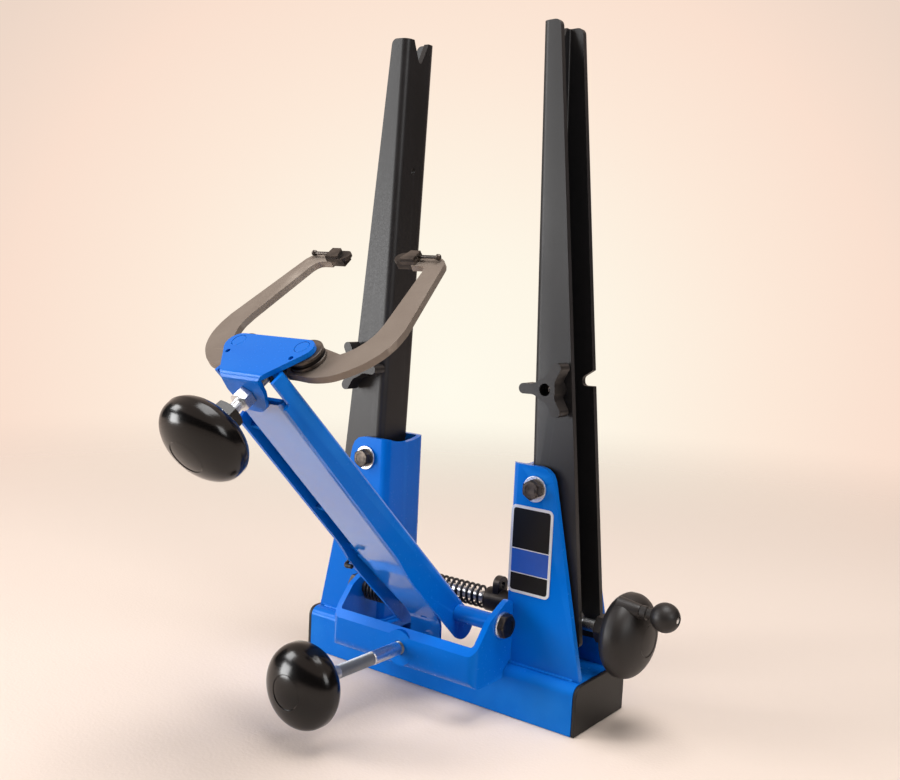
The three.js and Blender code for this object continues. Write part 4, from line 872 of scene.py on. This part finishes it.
@dataclass
class Uprights:
    """The two leaning uprights with their pivot bolts and three-armed clamp knobs."""

    pivot_x: float = 86.4
    plane_y: float = 33.5
    pivot_z: float = 180.1
    lean: float = 1.95
    edge_width: float = 0.5
    half_depth: float = 18.8
    wall: float = 4.8
    bolt: Bolt = Bolt(radius=4.0, flats=14.0, head_height=5.5, nut_height=6.5, end=2.0, dish=(4.6, 0.35))
    head_back_y: float = 5.55
    shank_play: float = 0.01
    nut_y: float = 59.55
    clamp_out: float = 11.6
    clamp_rise: float = 77.7
    clamp_reach: float = 23.0
    clamp_arm: float = 4.0
    clamp_hub: float = 9.0
    clamp_fillet: float = 8.0
    clamp_thickness: float = 13.0
    clamp_hub_thickness: float = 16.0
    recess_radius: float = 4.8
    recess_depth: float = 9.0
    stud_radius: float = 2.6
    stud_pitch: float = 0.8
    stud_play: float = 0.15
    clamp_nut_flats: float = 9.0
    clamp_nut_height: float = 4.0

    def build(self) -> None:
        """Builds both sides."""
        for side in Side:
            rounded_node(f"upright_{side.label}", f"upright_{side.label}", POWDER, self.edge_width)
            rounded_node(f"trunnion_{side.label}", f"trunnion_{side.label}", TURNED_BRASS, 0.3, 2)
            self.pivot(side)
            self.clamp(side)

    def pivot(self, side: Side) -> None:
        """Builds a pivot bolt with its washer, nut and spacers.

        Args:
            side: Which upright it carries.
        """
        label = side.label
        place = at(side.value * self.pivot_x, 0, self.pivot_z) @ AGAINST_Y
        back = -self.head_back_y
        bolt, nut = self.bolt.build(back, -self.nut_y, back - self.shank_play)
        fit(put(bolt, place), f"pivot_bolt_{label}", "root", BLACK_OXIDE)
        fit(put(nut, place), f"pivot_nut_{label}", "root", BRIGHT_ZINC)
        rounded_node(f"pivot_washer_{label}", "root", BRIGHT_ZINC, 0.35)
        for end in ("front", "rear"):
            rounded_node(f"pivot_spacer_{end}_{label}", "root", CAP_PLASTIC, 0.3, 2)

    def lobes(self) -> list[Pair]:
        """The clamp knob's outline: three slim round-ended arms that blend into the hub.

        Returns:
            The outline's corners round the hub's centre.
        """
        away = self.clamp_hub + self.clamp_fillet
        rise = self.clamp_arm + self.clamp_fillet
        run = math.sqrt(away ** 2 - rise ** 2)
        nose = arc((self.clamp_reach - self.clamp_arm, 0.0), self.clamp_arm, -90, 90, 13)
        blend = arc((run, rise), self.clamp_fillet, -90, math.degrees(math.atan2(-rise, -run)), 9)
        lobe = [(x, -y) for x, y in reversed(blend)] + nose + blend
        turns = [Matrix.Rotation(math.pi + 2 * math.pi * k / 3, 2) for k in range(3)]
        return [tuple(turn @ Vector(spot)) for turn in turns for spot in lobe]

    def clamp(self, side: Side) -> None:
        """Builds a three-armed clamp knob with its stud and nut.

        Args:
            side: Which upright it is on.
        """
        label, sign = side.label, side.value
        place = at(sign * self.pivot_x, self.plane_y, self.pivot_z)
        place = place @ Matrix.Rotation(math.radians(-sign * self.lean), 4, "Y")
        place = place @ at(sign * self.clamp_out, 0, self.clamp_rise) @ AGAINST_Y
        back = self.half_depth + GAP
        front = back + self.clamp_hub_thickness
        lobes_back = front - self.clamp_thickness
        recess = front - self.recess_depth
        knob = slab([(sign * x, y) for x, y in self.lobes()], lobes_back, front)
        cut(knob, barrel(self.clamp_hub, back, lobes_back + 1, 48), "UNION")
        cut(knob, barrel(self.recess_radius, recess, front + 1, 40))
        cut(knob, barrel(self.stud_radius + self.stud_play, back - 1, front + 1))
        soften(knob, 1.0, 4)
        fit(put(knob, place), f"clamp_knob_{label}", f"clamp_{label}", SATIN_PLASTIC)
        nut_top = self.half_depth - self.wall - GAP
        nut_low = nut_top - self.clamp_nut_height
        stud = thread(self.stud_radius, self.stud_pitch, nut_low - 1, recess)
        fit(put(stud, place), f"clamp_stud_{label}", f"clamp_{label}", BRIGHT_ZINC)
        nut = hexagon(self.clamp_nut_flats, nut_low, nut_top, bore=self.stud_radius + NUT_PLAY)
        fit(put(nut, place), f"clamp_nut_{label}", f"upright_{label}", BRIGHT_ZINC)


@dataclass
class AdjustingScrew:
    """The screw across both uprights with its sleeve, spring, nut, right knob and crank.

    The boss and the stub are given as rows of how far they stand out from the stub's radius, and at what
    height. The hole in the ball's end and the pin's end are rows of a radius and how deep that lies.
    """

    plane_y: float = 33.5
    axis_z: float = 76.0
    radius: float = 4.75
    pitch: float = 1.75
    left_end: float = -110.0
    thread_left: float = -60.0
    thread_right: float = 66.0
    thread_end: float = 122.0
    right_end: float = 148.3
    rim_x: float = 158.6
    knob_radius: float = 32.5
    crank_radius: float = 27.0
    crank_angle: float = 115.0
    boss: tuple[Pair, ...] = ((2.6, -2.0), (1.5, 6.0), (0.4, 12.0), (0.0, 15.4), (-0.6, 16.0))
    stub: tuple[Pair, ...] = ((-0.4, 0.0), (0.0, 0.4), (0.0, 4.5), (-0.9, 5.3))
    stub_radius: float = 5.2
    stub_top: float = 4.2
    stub_length: float = 19.0
    ball_radius: float = 11.0
    ball_end: float = 3.4
    ball_hole: tuple[Pair, Pair] = ((3.2, 0.6), (3.0, 1.6))
    pin_radius: float = 2.5
    pin_from: float = -8.0
    pin_end: tuple[Pair, ...] = ((2.5, 1.4), (2.0, 0.9), (0.0, 0.7))
    nut_x: float = 115.0
    nut_height: float = 6.0
    nut_flats: float = 15.0
    spring_radius: float = 9.5
    wire_radius: float = 1.15
    spring_pitch: float = 5.5
    spring_from: float = -45.7
    spring_to: float = 31.0

    def build(self) -> None:
        """Builds every piece on the screw's axis."""
        self.screw()
        self.spring()
        rounded_node("bearing_sleeve", "root", BLACK_OXIDE, 0.5)
        rounded_node("spring_collar", "side_screw", BLACK_OXIDE, 0.5)
        self.knob_and_crank()

    def screw(self) -> None:
        """Builds the screw with its two threads, and the jam nut."""
        axis = at(0, self.plane_y, self.axis_z) @ ALONG_X
        left = thread(self.radius, self.pitch, self.left_end, self.thread_left)
        middle = rod(self.radius, self.thread_left, self.thread_right, 36)
        right = thread(self.radius, self.pitch, self.thread_right, self.thread_end)
        shank = rod(self.radius, self.thread_end, self.right_end, 36)
        fit(put(join(left, middle, right, shank), axis), "adjusting_screw", "side_screw", BRIGHT_ZINC)
        half = self.nut_height / 2
        nut = hexagon(self.nut_flats, self.nut_x - half, self.nut_x + half, bore=self.radius + NUT_PLAY)
        fit(put(nut, axis), "jam_nut", "side_screw", BRIGHT_ZINC)

    def spring(self) -> None:
        """Winds the compression spring along the CAD's own centre line, in finer steps."""
        straight = 2 * self.wire_radius
        points = coil(self.spring_radius - self.wire_radius, self.spring_pitch, self.spring_from + straight,
                      self.spring_to - straight)
        first, last = (Vector((x, *points[i].yz)) for x, i in ((self.spring_from, 0), (self.spring_to, -1)))
        spring = put(wire([first, *points, last], self.wire_radius, 2), at(0, self.plane_y, self.axis_z))
        fit(spring, "adjusting_spring", "root", SPRING_WIRE)

    def knob_and_crank(self) -> None:
        """Builds the right knob with its boss, the crank's pin and the ball-shaped spinner."""
        stub, rise = self.stub_radius, self.boss[-1][1]
        angle = math.radians(self.crank_angle)
        across, up = self.crank_radius * math.cos(angle), self.crank_radius * math.sin(angle)
        knob = Knob(radius=self.knob_radius).build(Matrix())
        boss = turned([(stub + out, height) for out, height in self.boss], 40, 40.0)
        # Turned along X, a place across the axis keeps Y and has its Z on the axis's own -X
        put(boss, at(-up, across, 0))
        knob = put(join(knob, boss), at(self.rim_x, self.plane_y, self.axis_z) @ ALONG_X)
        fit(knob, "side_knob", "side_screw", SATIN_PLASTIC)
        crank = at(self.rim_x + rise + GAP, self.plane_y + across, self.axis_z + up) @ ALONG_X
        neck = math.degrees(math.acos(self.stub_top / self.ball_radius))
        ball = arc((0.0, self.stub_length), self.ball_radius, -neck, 90, 27)
        end = self.stub_length + self.ball_radius
        profile = [(stub + out, height) for out, height in self.stub]
        profile += [spot for spot in ball if spot[1] <= self.stub_length or spot[0] >= self.ball_end]
        profile += [(radius, end - depth) for radius, depth in self.ball_hole]
        profile.append((0.0, profile[-1][1]))
        spinner = turned(profile, 48, 40.0)
        fit(put(spinner, crank), "crank_spinner", "crank", SATIN_PLASTIC)
        tail = [(radius, end - depth) for radius, depth in self.pin_end]
        pin = turned([(self.pin_radius, self.pin_from), *tail], 28, 40.0)
        fit(put(pin, crank), "crank_pin", "side_screw", BRIGHT_ZINC)


@dataclass
class Bracket:
    """The folded bracket in front of the base, with the arm's pivot bolt and the lower screw."""

    edge_width: float = 0.6
    half_width: float = 72.5
    bolt: Bolt = Bolt(radius=4.5, flats=17.0, head_height=6.5, nut_height=8.0, end=2.5, dish=(5.4, 0.4))
    washer: tuple[Pair, ...] = ((10.4, 0.0), (10.4, 1.0), (9.6, 1.5))
    washer_play: float = 0.2
    screw_z: float = 45.5
    screw_radius: float = 5.3
    screw_pitch: float = 1.5
    screw_wear: float = 0.2
    knob_rim_y: float = -148.5
    shank_end: float = -126.0
    thread_from: float = -114.5
    thread_to: float = -76.0
    thread_runout: float = 0.4
    land_taper: float = 0.6
    screw_end: float = -17.5
    hidden_thread: float = -46.0
    nut_from: float = -38.2
    nut_flats: float = 17.0
    nut_length: float = 9.0

    def build(self) -> None:
        """Builds the bracket, the arm's pivot and the lower screw."""
        rounded_node("caliper_bracket", "root", ENAMEL, self.edge_width)
        rounded_node("arm_spacer_left", "root", BLACK_OXIDE, 0.4, 2)
        rounded_node("arm_spacer_right", "root", ENAMEL, 0.4, 2)
        self.pivot()
        self.lower_screw()

    def pivot(self) -> None:
        """Builds the long pivot bolt, its washer and its nut."""
        place = at(0, FRAMES.pivot_y, FRAMES.pivot_z) @ ALONG_X
        back = self.half_width + GAP
        bolt, nut = self.bolt.build(back, -back, back + 1)
        washer = turned([(radius, back + height) for radius, height in self.washer], shade=32.0)
        cut(washer, barrel(self.bolt.radius + self.washer_play, back - 1, back + 3))
        fit(put(bolt, place), "arm_bolt", "root", BLACK_OXIDE)
        fit(put(washer, place), "arm_bolt_washer", "root", BRIGHT_ZINC)
        fit(put(nut, place), "arm_nut", "root", BLACK_OXIDE)

    def lower_screw(self) -> None:
        """Builds the lower screw with its two threads, its pad, nut and knob."""
        axis = at(0, 0, self.screw_z) @ ALONG_Y
        radius, pitch, runout = self.screw_radius, self.screw_pitch, self.thread_runout
        shank = rod(radius, self.shank_end, self.thread_from, 40)
        worn_and_highlit = thread(radius - self.screw_wear, pitch, self.thread_from, self.thread_to)
        inside = thread(radius, pitch, self.hidden_thread, self.screw_end)
        fit(put(join(shank, worn_and_highlit, inside), axis), "radial_screw", "radial_screw", WORN_ZINC)
        land = turned([(radius - self.land_taper, self.thread_to - runout),
                       (radius, self.thread_to + runout), (radius, self.hidden_thread)], shade=32.0)
        fit(put(land, axis), "radial_screw_land", "radial_screw", BRIGHT_ZINC)
        knob = Knob().build(at(0, self.knob_rim_y, self.screw_z) @ AGAINST_Y)
        fit(knob, "radial_knob", "radial_screw", KNOB_PLASTIC)
        rounded_node("radial_tip", "radial_tip", BRIGHT_ZINC, 0.25, 2)
        nut = hexagon(self.nut_flats, self.nut_from, self.nut_from + self.nut_length, bore=radius + NUT_PLAY)
        fit(put(nut, axis), "bracket_nut", "root", BRIGHT_ZINC)


@dataclass
class Arm:
    """The folded arm, its nested inner channel and the torsion spring beside its foot."""

    edge_width: float = 0.5
    half_width: float = 30.0
    wall: float = 2.7
    bulge_c: float = -15.0
    spring_outer: float = 10.0
    wire_radius: float = 1.3
    pitch: float = 3.8
    leg_reach: float = 76.0
    leg_steps: int = 6
    sleeve_from: int = 21
    sleeve_wall: float = 0.45
    ear_inner: float = 67.5
    hook_gap: float = 0.4
    corner: Pair = (246.0, 3.5)
    seat_forward: float = 5.5
    seat_reaches: Triple = (40.0, 78.0, 264.0)

    def build(self) -> None:
        """Builds the arm's three pieces."""
        rounded_node("arm_channel", "arm", ENAMEL, self.edge_width, change=self.trim)
        rounded_node("arm_inner_channel", "arm", POOLED_ENAMEL, self.edge_width, change=self.seat)
        self.spring()

    def trim(self, channel: Piece) -> None:
        """Cuts the front corner off the left flange's top.

        Args:
            channel: The arm's outer channel.
        """
        reach, front = self.corner
        edge = self.half_width + 1
        corner = slab([(-edge, -edge), (0, -edge), (0, front), (-edge, front)], reach, reach + 2 * edge)
        cut(channel, put(corner, FRAMES.arm))

    def seat(self, inner: Piece) -> None:
        """Tilts the inner channel forward from the head's tab down to its bend, close to the arm's edges.

        Args:
            inner: The inner channel.
        """
        inside = FRAMES.arm.inverted()
        tail, bend, top = self.seat_reaches
        for vert in inner.data.vertices:
            spot = inside @ vert.co
            reach = spot.z / MM
            share = (top - reach) / (top - bend) if reach > bend else (reach - tail) / (bend - tail)
            spot.y -= self.seat_forward * MM * max(share, 0.0)
            vert.co = FRAMES.arm @ spot

    def leg(self, x: float, c: float) -> list[Vector]:
        """The spring's long leg, which bends round the arm's front edge at its end.

        Args:
            x: Where it leaves the coil, along X.
            c: Where it leaves the coil, from the pivot's axis to the rear.

        Returns:
            The leg's centre line, in the arm's frame.
        """
        bend, reach = 2 * self.wire_radius, self.leg_reach
        hook_c = self.bulge_c - GAP - bend
        knots = [Vector(spot) for spot in (
            (x, c, bend), (x, c, reach / 2), (x, c, reach - 2 * bend),
            (x, (hook_c + c) / 2, reach - bend / 2), (x + bend / 2, hook_c, reach),
            (x + 2 * bend, hook_c, reach), (x + 2 * bend + self.wall, hook_c, reach))]
        rows = zip([knots[0], *knots], knots, knots[1:], [*knots[2:], knots[-1]])
        points = []
        for before, here, there, after in rows:
            points += interpolate_bezier(here, here + (there - before) / 6, there - (after - here) / 6, there,
                                         self.leg_steps + 1)[:-1]
        return points + knots[-1:]

    def spring(self) -> None:
        """Winds the torsion spring along the CAD's own centre line, with its sleeved hooked leg."""
        radius = self.spring_outer - self.wire_radius
        start = GAP - self.ear_inner
        end = -self.half_width - self.hook_gap - self.wire_radius
        points = coil(-radius, self.pitch, end, start + 2 * self.wire_radius)[::-1]
        leg = self.leg(end, -radius)
        spring = wire([Vector((start, *points[0].yz)), *points, *leg], self.wire_radius, 2)
        fit(put(spring, FRAMES.arm), "arm_spring", "arm", SPRING_WIRE)
        sleeve = wire(leg[self.sleeve_from:-2], self.wire_radius + self.sleeve_wall, 3)
        fit(put(sleeve, FRAMES.arm), "arm_spring_sleeve", "arm", CAP_PLASTIC)


@dataclass
class Head:
    """The head plate with its two jaws, and the upper screw that moves them.

    The tip's corners give how far they lie outwards from the head's middle and up the slope from tip_r,
    and its heights start at the jaw's top. The washers' corners give how far they lie in from the rim and
    over a seam, and are grouped by seam from the jaw's side upwards.
    """

    plate_edge: float = 0.7
    jaw_edge: float = 0.6
    pivot_spread: float = 29.5
    pin_radius: float = 5.2
    pin_play: float = 0.2
    plate_thickness: float = 3.5
    jaw_top: float = -11.5
    jaw_thickness: float = 9.0
    screw_radius: float = 4.0
    knob_rim: float = -75.7
    nut_flats: float = 13.0
    nut_height: float = 8.0
    front: float = -34.0
    screw_from: float = -53.0
    screw_to: float = -12.1
    washer_radius: float = 13.0
    washer_rim: tuple[tuple[Pair, ...], ...] = (
        ((0.4, 0.0), (0.0, 0.4)), ((0.0, -0.3), (0.5, 0.0), (1.4, 0.0)),
        ((1.4, 0.0), (0.6, 0.0), (0.2, 0.4)), ((0.2, -0.4), (0.6, 0.0)))
    jaw_gauge: float = 5.0
    end_from: float = 104.0
    end_within: float = 34.5
    end_shift: float = 4.6
    tip_r: float = 115.2
    tip_nose: float = 5.4
    tip_ends: Pair = (22.0, 42.0)
    tip_height: float = 2.6
    tip_step: tuple[Pair, ...] = ((29.5, -4.6), (33.5, 5.3), (41.9, 5.3), (41.9, -5.3), (32.0, -5.3))
    tip_step_heights: Pair = (2.2, 5.0)
    tip_block: tuple[Pair, ...] = ((25.5, -5.3), (26.5, 4.0), (37.6, 4.0), (37.6, -5.3))
    tip_block_heights: Pair = (-4.0, 0.4)
    tip_edge: float = 0.45

    def build(self) -> None:
        """Builds the head."""
        rounded_node("head_plate", "arm", ENAMEL, self.plate_edge)
        for side in Side:
            label = side.label
            rounded_node(f"jaw_{label}", f"jaw_{label}", JAW_PLATE, self.jaw_edge,
                         change=lambda piece, side=side: self.thin(piece, side))
            self.tip(side)
            rounded_node(f"tip_screw_{label}", f"jaw_{label}", BLACK_OXIDE, 0.3, 2)
            rounded_node(f"jaw_pin_{label}", "arm", ENAMEL, 0.4, 3)
            self.washers(side)
        self.upper_screw()

    def washers(self, side: Side) -> None:
        """Turns the stack of three washers between the head plate and a jaw, as one grooved ring.

        Args:
            side: Which jaw.
        """
        low, high = self.jaw_top + GAP, -self.plate_thickness - GAP
        third = (high - low) / 3
        inner = self.pin_radius + self.pin_play
        rim = [(self.washer_radius - inset, low + third * seam + rise)
               for seam, corners in enumerate(self.washer_rim) for inset, rise in corners]
        profile = [(inner, low), *rim, (inner, high)]
        stack = line_of([(radius, 0.0, height) for radius, height in profile], closed=True)
        sweep(stack, 56)
        merge(stack)
        smooth(stack, 30.0)
        put(stack, FRAMES.head @ at(side.value * self.pivot_spread, 0, 0))
        fit(stack, f"jaw_washer_{side.label}", "arm", BLACK_OXIDE)

    def thin(self, piece: Piece, side: Side) -> None:
        """Draws a jaw's underside up to the plate's real gauge, and its inner end further out.

        Args:
            piece: The jaw's plate.
            side: Which jaw.
        """
        inside = FRAMES.head.inverted()
        lift = FRAMES.head.to_3x3() @ Vector((0, 0, self.jaw_thickness - self.jaw_gauge)) * MM
        bottom = (self.jaw_top - self.jaw_thickness + 1) * MM
        for vert in piece.data.vertices:
            spot = inside @ vert.co
            if spot.z < bottom:
                vert.co += lift
            if spot.y > self.end_from * MM and abs(spot.x) < self.end_within * MM:
                vert.co.x += side.value * self.end_shift * MM

    def tip(self, side: Side) -> None:
        """Builds a jaw's reversible tip: a stepped cap with a round nose over a deeper block.

        Args:
            side: Which jaw.
        """
        low = self.jaw_top + GAP
        half, (start, end) = self.tip_nose, self.tip_ends
        nose = arc((start + half, 0.0), half, -90, -270, 13) + [(end, half), (end, -half)]
        layers = ((nose, (0.0, self.tip_height)), (self.tip_step, self.tip_step_heights),
                  (self.tip_block, self.tip_block_heights))
        tip, step, block = (
            slab([(side.value * x, self.tip_r + y) for x, y in outline], low + bottom, low + top)
            for outline, (bottom, top) in layers)
        cut(cut(tip, step, "UNION"), block, "UNION")
        soften(tip, self.tip_edge, 3)
        fit(put(tip, FRAMES.head), f"jaw_tip_{side.label}", f"jaw_{side.label}", BLACK_OXIDE)

    def upper_screw(self) -> None:
        """Builds the upper screw, its nut, pusher and knob."""
        middle = self.jaw_top - self.jaw_thickness / 2
        axis = FRAMES.head @ at(0, 0, middle) @ ALONG_Y
        screw = thread(self.screw_radius, COARSE_PITCH, self.screw_from, self.screw_to)
        fit(put(screw, axis), "caliper_screw", "caliper_screw", BRIGHT_ZINC)
        end = self.front - GAP
        nut = hexagon(self.nut_flats, end - self.nut_height, end, (True, False), self.screw_radius + NUT_PLAY)
        fit(put(nut, axis), "caliper_nut", "arm", BRIGHT_ZINC)
        rounded_node("caliper_pusher", "pusher", BLACK_OXIDE, 0.4, 2)
        knob = Knob().build(FRAMES.head @ at(0, self.knob_rim, middle) @ AGAINST_Y)
        fit(knob, "caliper_knob", "caliper_screw", KNOB_PLASTIC)


@dataclass
class Studio:
    """A pale sweep with soft lamps, dark cards for reflections, and the camera at the photograph's angle."""

    camera_at: Triple = (506.7, -671.6, 340.6)
    yaw: float = 36.695
    pitch: float = 6.258
    roll: float = 2.688
    lens: float = 42.19
    sensor: float = 36.0
    floor_size: float = 8.0
    floor_drop: float = 0.0005
    floor_paint: str = "#ECD9CB"
    near_radius: float = 0.3
    far_radius: float = 1.7
    dome_radius: float = 9.0
    dome_reach: float = 40.0
    # Painted light falloff on the backdrop: its colour by share of the reach from the camera's line of sight
    dome_light_falloff: tuple[tuple[float, str], ...] = ((0.2, "#FEF6E6"), (0.42, "#FDE9D8"), (0.58, "#FAE0CF"),
                                                 (0.72, "#EDD7C8"))
    card_radius: float = 2900.0
    card_heights: Pair = (20.0, 1500.0)
    card_sweep: float = 255.0
    fill: float = 0.22
    aim: Triple = (0.0, 0.0, 0.2)
    boxes: tuple[tuple[str, Triple, float, float], ...] = (
        ("soft_box_left", (-1.7, -1.3, 1.3), 0.8, 24.0),
        ("soft_box_low", (-1.5, -1.6, 0.25), 0.7, 26.0),
        ("soft_box_right", (1.8, -0.4, 0.9), 0.7, 10.0),
        ("soft_box_top", (0.35, -0.1, 2.2), 1.2, 36.0),
    )

    def build(self) -> None:
        """Builds the stage."""
        self.camera()
        self.floor()
        self.backdrop()
        self.cards()
        self.lamps()
        self.surroundings()
        bpy.context.scene.view_settings.view_transform = "Standard"

    @property
    def turn(self) -> Matrix:
        """How the camera is turned."""
        turns = ((self.yaw, "Z"), (90 - self.pitch, "X"), (self.roll, "Z"))
        yaw, tilt, roll = (Matrix.Rotation(math.radians(angle), 4, axis) for angle, axis in turns)
        return yaw @ tilt @ roll

    def camera(self) -> None:
        """Places the camera."""
        data = bpy.data.cameras.new("camera")
        data.lens = self.lens
        data.sensor_width = self.sensor
        data.sensor_fit = "HORIZONTAL"
        camera = bpy.data.objects.new("camera", data)
        bpy.context.scene.collection.objects.link(camera)
        camera.matrix_world = at(*self.camera_at) @ self.turn
        bpy.context.scene.camera = camera

    def floor(self) -> None:
        """Lays the floor, which keeps the object's shadow and fades into the backdrop away from it."""
        clear_selection()
        bpy.ops.mesh.primitive_plane_add(size=self.floor_size, location=(0, 0, -self.floor_drop))
        floor = bpy.context.object
        floor.name = "studio_floor"
        bpy.ops.object.transform_apply(location=True, rotation=True, scale=True)
        # Matt paper sweep: pale cream, lit by the lamps close by and clear where the backdrop takes over
        made, tree = blank_material("matt_paper_sweep")
        place = add_node(tree, "TexCoord", output="Object")
        away = add_node(tree, "VectorMath", {"operation": "LENGTH", 0: place}, "Value")
        far = add_node(tree, "MapRange", {"From Min": self.near_radius, "From Max": self.far_radius,
                                          "interpolation_type": "SMOOTHSTEP", "Value": away})
        grain = add_node(tree, "TexNoise", {"Scale": 400.0, "Detail": 2.0, "Vector": place})
        bump = add_node(tree, "Bump", {"Distance": 0.0002, "Height": grain})
        matt = add_node(tree, "BsdfDiffuse", {"Color": linear(self.floor_paint), "Normal": bump})
        clear = add_node(tree, "BsdfTransparent")
        blend = add_node(tree, "MixShader", {0: far, 1: matt, 2: clear})
        add_node(tree, "OutputMaterial", {"Surface": blend})
        floor.data.materials.append(made)

    def seen(self, tree: Tree) -> Socket:
        """Adds the test for rays that show the backdrop: from the camera, off gloss or through glass.

        Args:
            tree: The node tree that takes the test.

        Returns:
            An output that is one for such rays.
        """
        path = add_node(tree, "LightPath").node.outputs
        gloss = add_node(tree, "Math", {"operation": "MAXIMUM", 0: path["Is Camera Ray"],
                                        1: path["Is Glossy Ray"]})
        return add_node(tree, "Math", {"operation": "MAXIMUM", 0: gloss, 1: path["Is Transmission Ray"]})

    def backdrop(self) -> None:
        """Hangs the backdrop, a glowing dome with a painted light falloff: cream straight ahead of the
        camera, darkening to peach around it.
        """
        clear_selection()
        bpy.ops.mesh.primitive_uv_sphere_add(segments=64, ring_count=32, radius=self.dome_radius,
                                             location=Vector(self.camera_at) * MM)
        dome = bpy.context.object
        dome.name = "studio_backdrop"
        # Painted light falloff: an even glow straight ahead that darkens softly to all sides, as if lit from
        # its middle
        made, tree = blank_material("backdrop_cloth_painted")
        place = add_node(tree, "TexCoord", output="Object")
        way = add_node(tree, "VectorMath", {"operation": "NORMALIZE", 0: place})
        ahead = -self.turn.col[2].xyz
        facing = add_node(tree, "VectorMath", {"operation": "DOT_PRODUCT", 0: way, 1: ahead}, "Value")
        angle = add_node(tree, "Math", {"operation": "ARCCOSINE", 0: facing})
        reach = math.radians(self.dome_reach)
        share = add_node(tree, "MapRange", {"From Min": 0.0, "From Max": reach, "Value": angle})
        paint = add_node(tree, "ValToRGB", {0: share})
        stops = paint.node.color_ramp.elements
        stops[0].color = linear("#FFFBEC")
        stops[1].color = linear("#E3CCBD")
        for spot, code in self.dome_light_falloff:
            stops.new(spot).color = linear(code)
        glow = add_node(tree, "Emission", {"Color": paint})
        none = add_node(tree, "BsdfTransparent")
        pick = add_node(tree, "MixShader", {0: self.seen(tree), 1: none, 2: glow})
        add_node(tree, "OutputMaterial", {"Surface": pick})
        dome.data.materials.append(made)
        dome.visible_diffuse = False
        dome.visible_shadow = False

    def cards(self) -> None:
        """Stands dark cards round the camera's side of the stage, which only reflections see."""
        card = line_of([(-self.card_radius, 0.0, height) for height in self.card_heights])
        card.name = "studio_cards"
        sweep(card, 36, -math.radians(self.card_sweep))
        # Black velvet: takes nearly all light
        made, tree = blank_material("black_velvet")
        cloth = add_node(tree, "BsdfPrincipled", {"Base Color": linear("#1A1716"), "Roughness": 1.0})
        add_node(tree, "OutputMaterial", {"Surface": cloth})
        card.data.materials.append(made)
        card.visible_camera = False
        card.visible_diffuse = False
        card.visible_shadow = False

    def lamps(self) -> None:
        """Hangs the soft boxes: the main one up on the left, two lower ones at the sides, one overhead."""
        for name, place, size, power in self.boxes:
            data = bpy.data.lights.new(name, "AREA")
            data.shape = "SQUARE"
            data.size = size
            data.energy = power
            lamp = bpy.data.objects.new(name, data)
            bpy.context.scene.collection.objects.link(lamp)
            lamp.location = place
            lamp.rotation_euler = (Vector(self.aim) - Vector(place)).to_track_quat("-Z", "Y").to_euler()

    def surroundings(self) -> None:
        """Sets the world: the backdrop's peach to the camera and to gloss, and a soft fill elsewhere."""
        world = bpy.data.worlds.new("studio")
        bpy.context.scene.world = world
        world.use_nodes = True
        tree = world.node_tree
        tree.nodes.clear()
        pale = add_node(tree, "Background", {"Color": linear("#EDD7C8"), "Strength": 1.0})
        soft = add_node(tree, "Background", {"Color": linear("#FFFFFF"), "Strength": self.fill})
        pick = add_node(tree, "MixShader", {0: self.seen(tree), 1: soft, 2: pale})
        add_node(tree, "OutputWorld", {"Surface": pick})


def main() -> None:
    """Builds the stage and every sub-assembly in order."""
    logging.basicConfig(level=logging.INFO, format="%(message)s")
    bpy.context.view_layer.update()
    for assembly in (Studio(), Base(), Uprights(), AdjustingScrew(), Bracket(), Arm(), Head()):
        assembly.build()
        LOG.info("built %s", type(assembly).__name__)
    clear_selection()


if __name__ == "__main__":
    main()
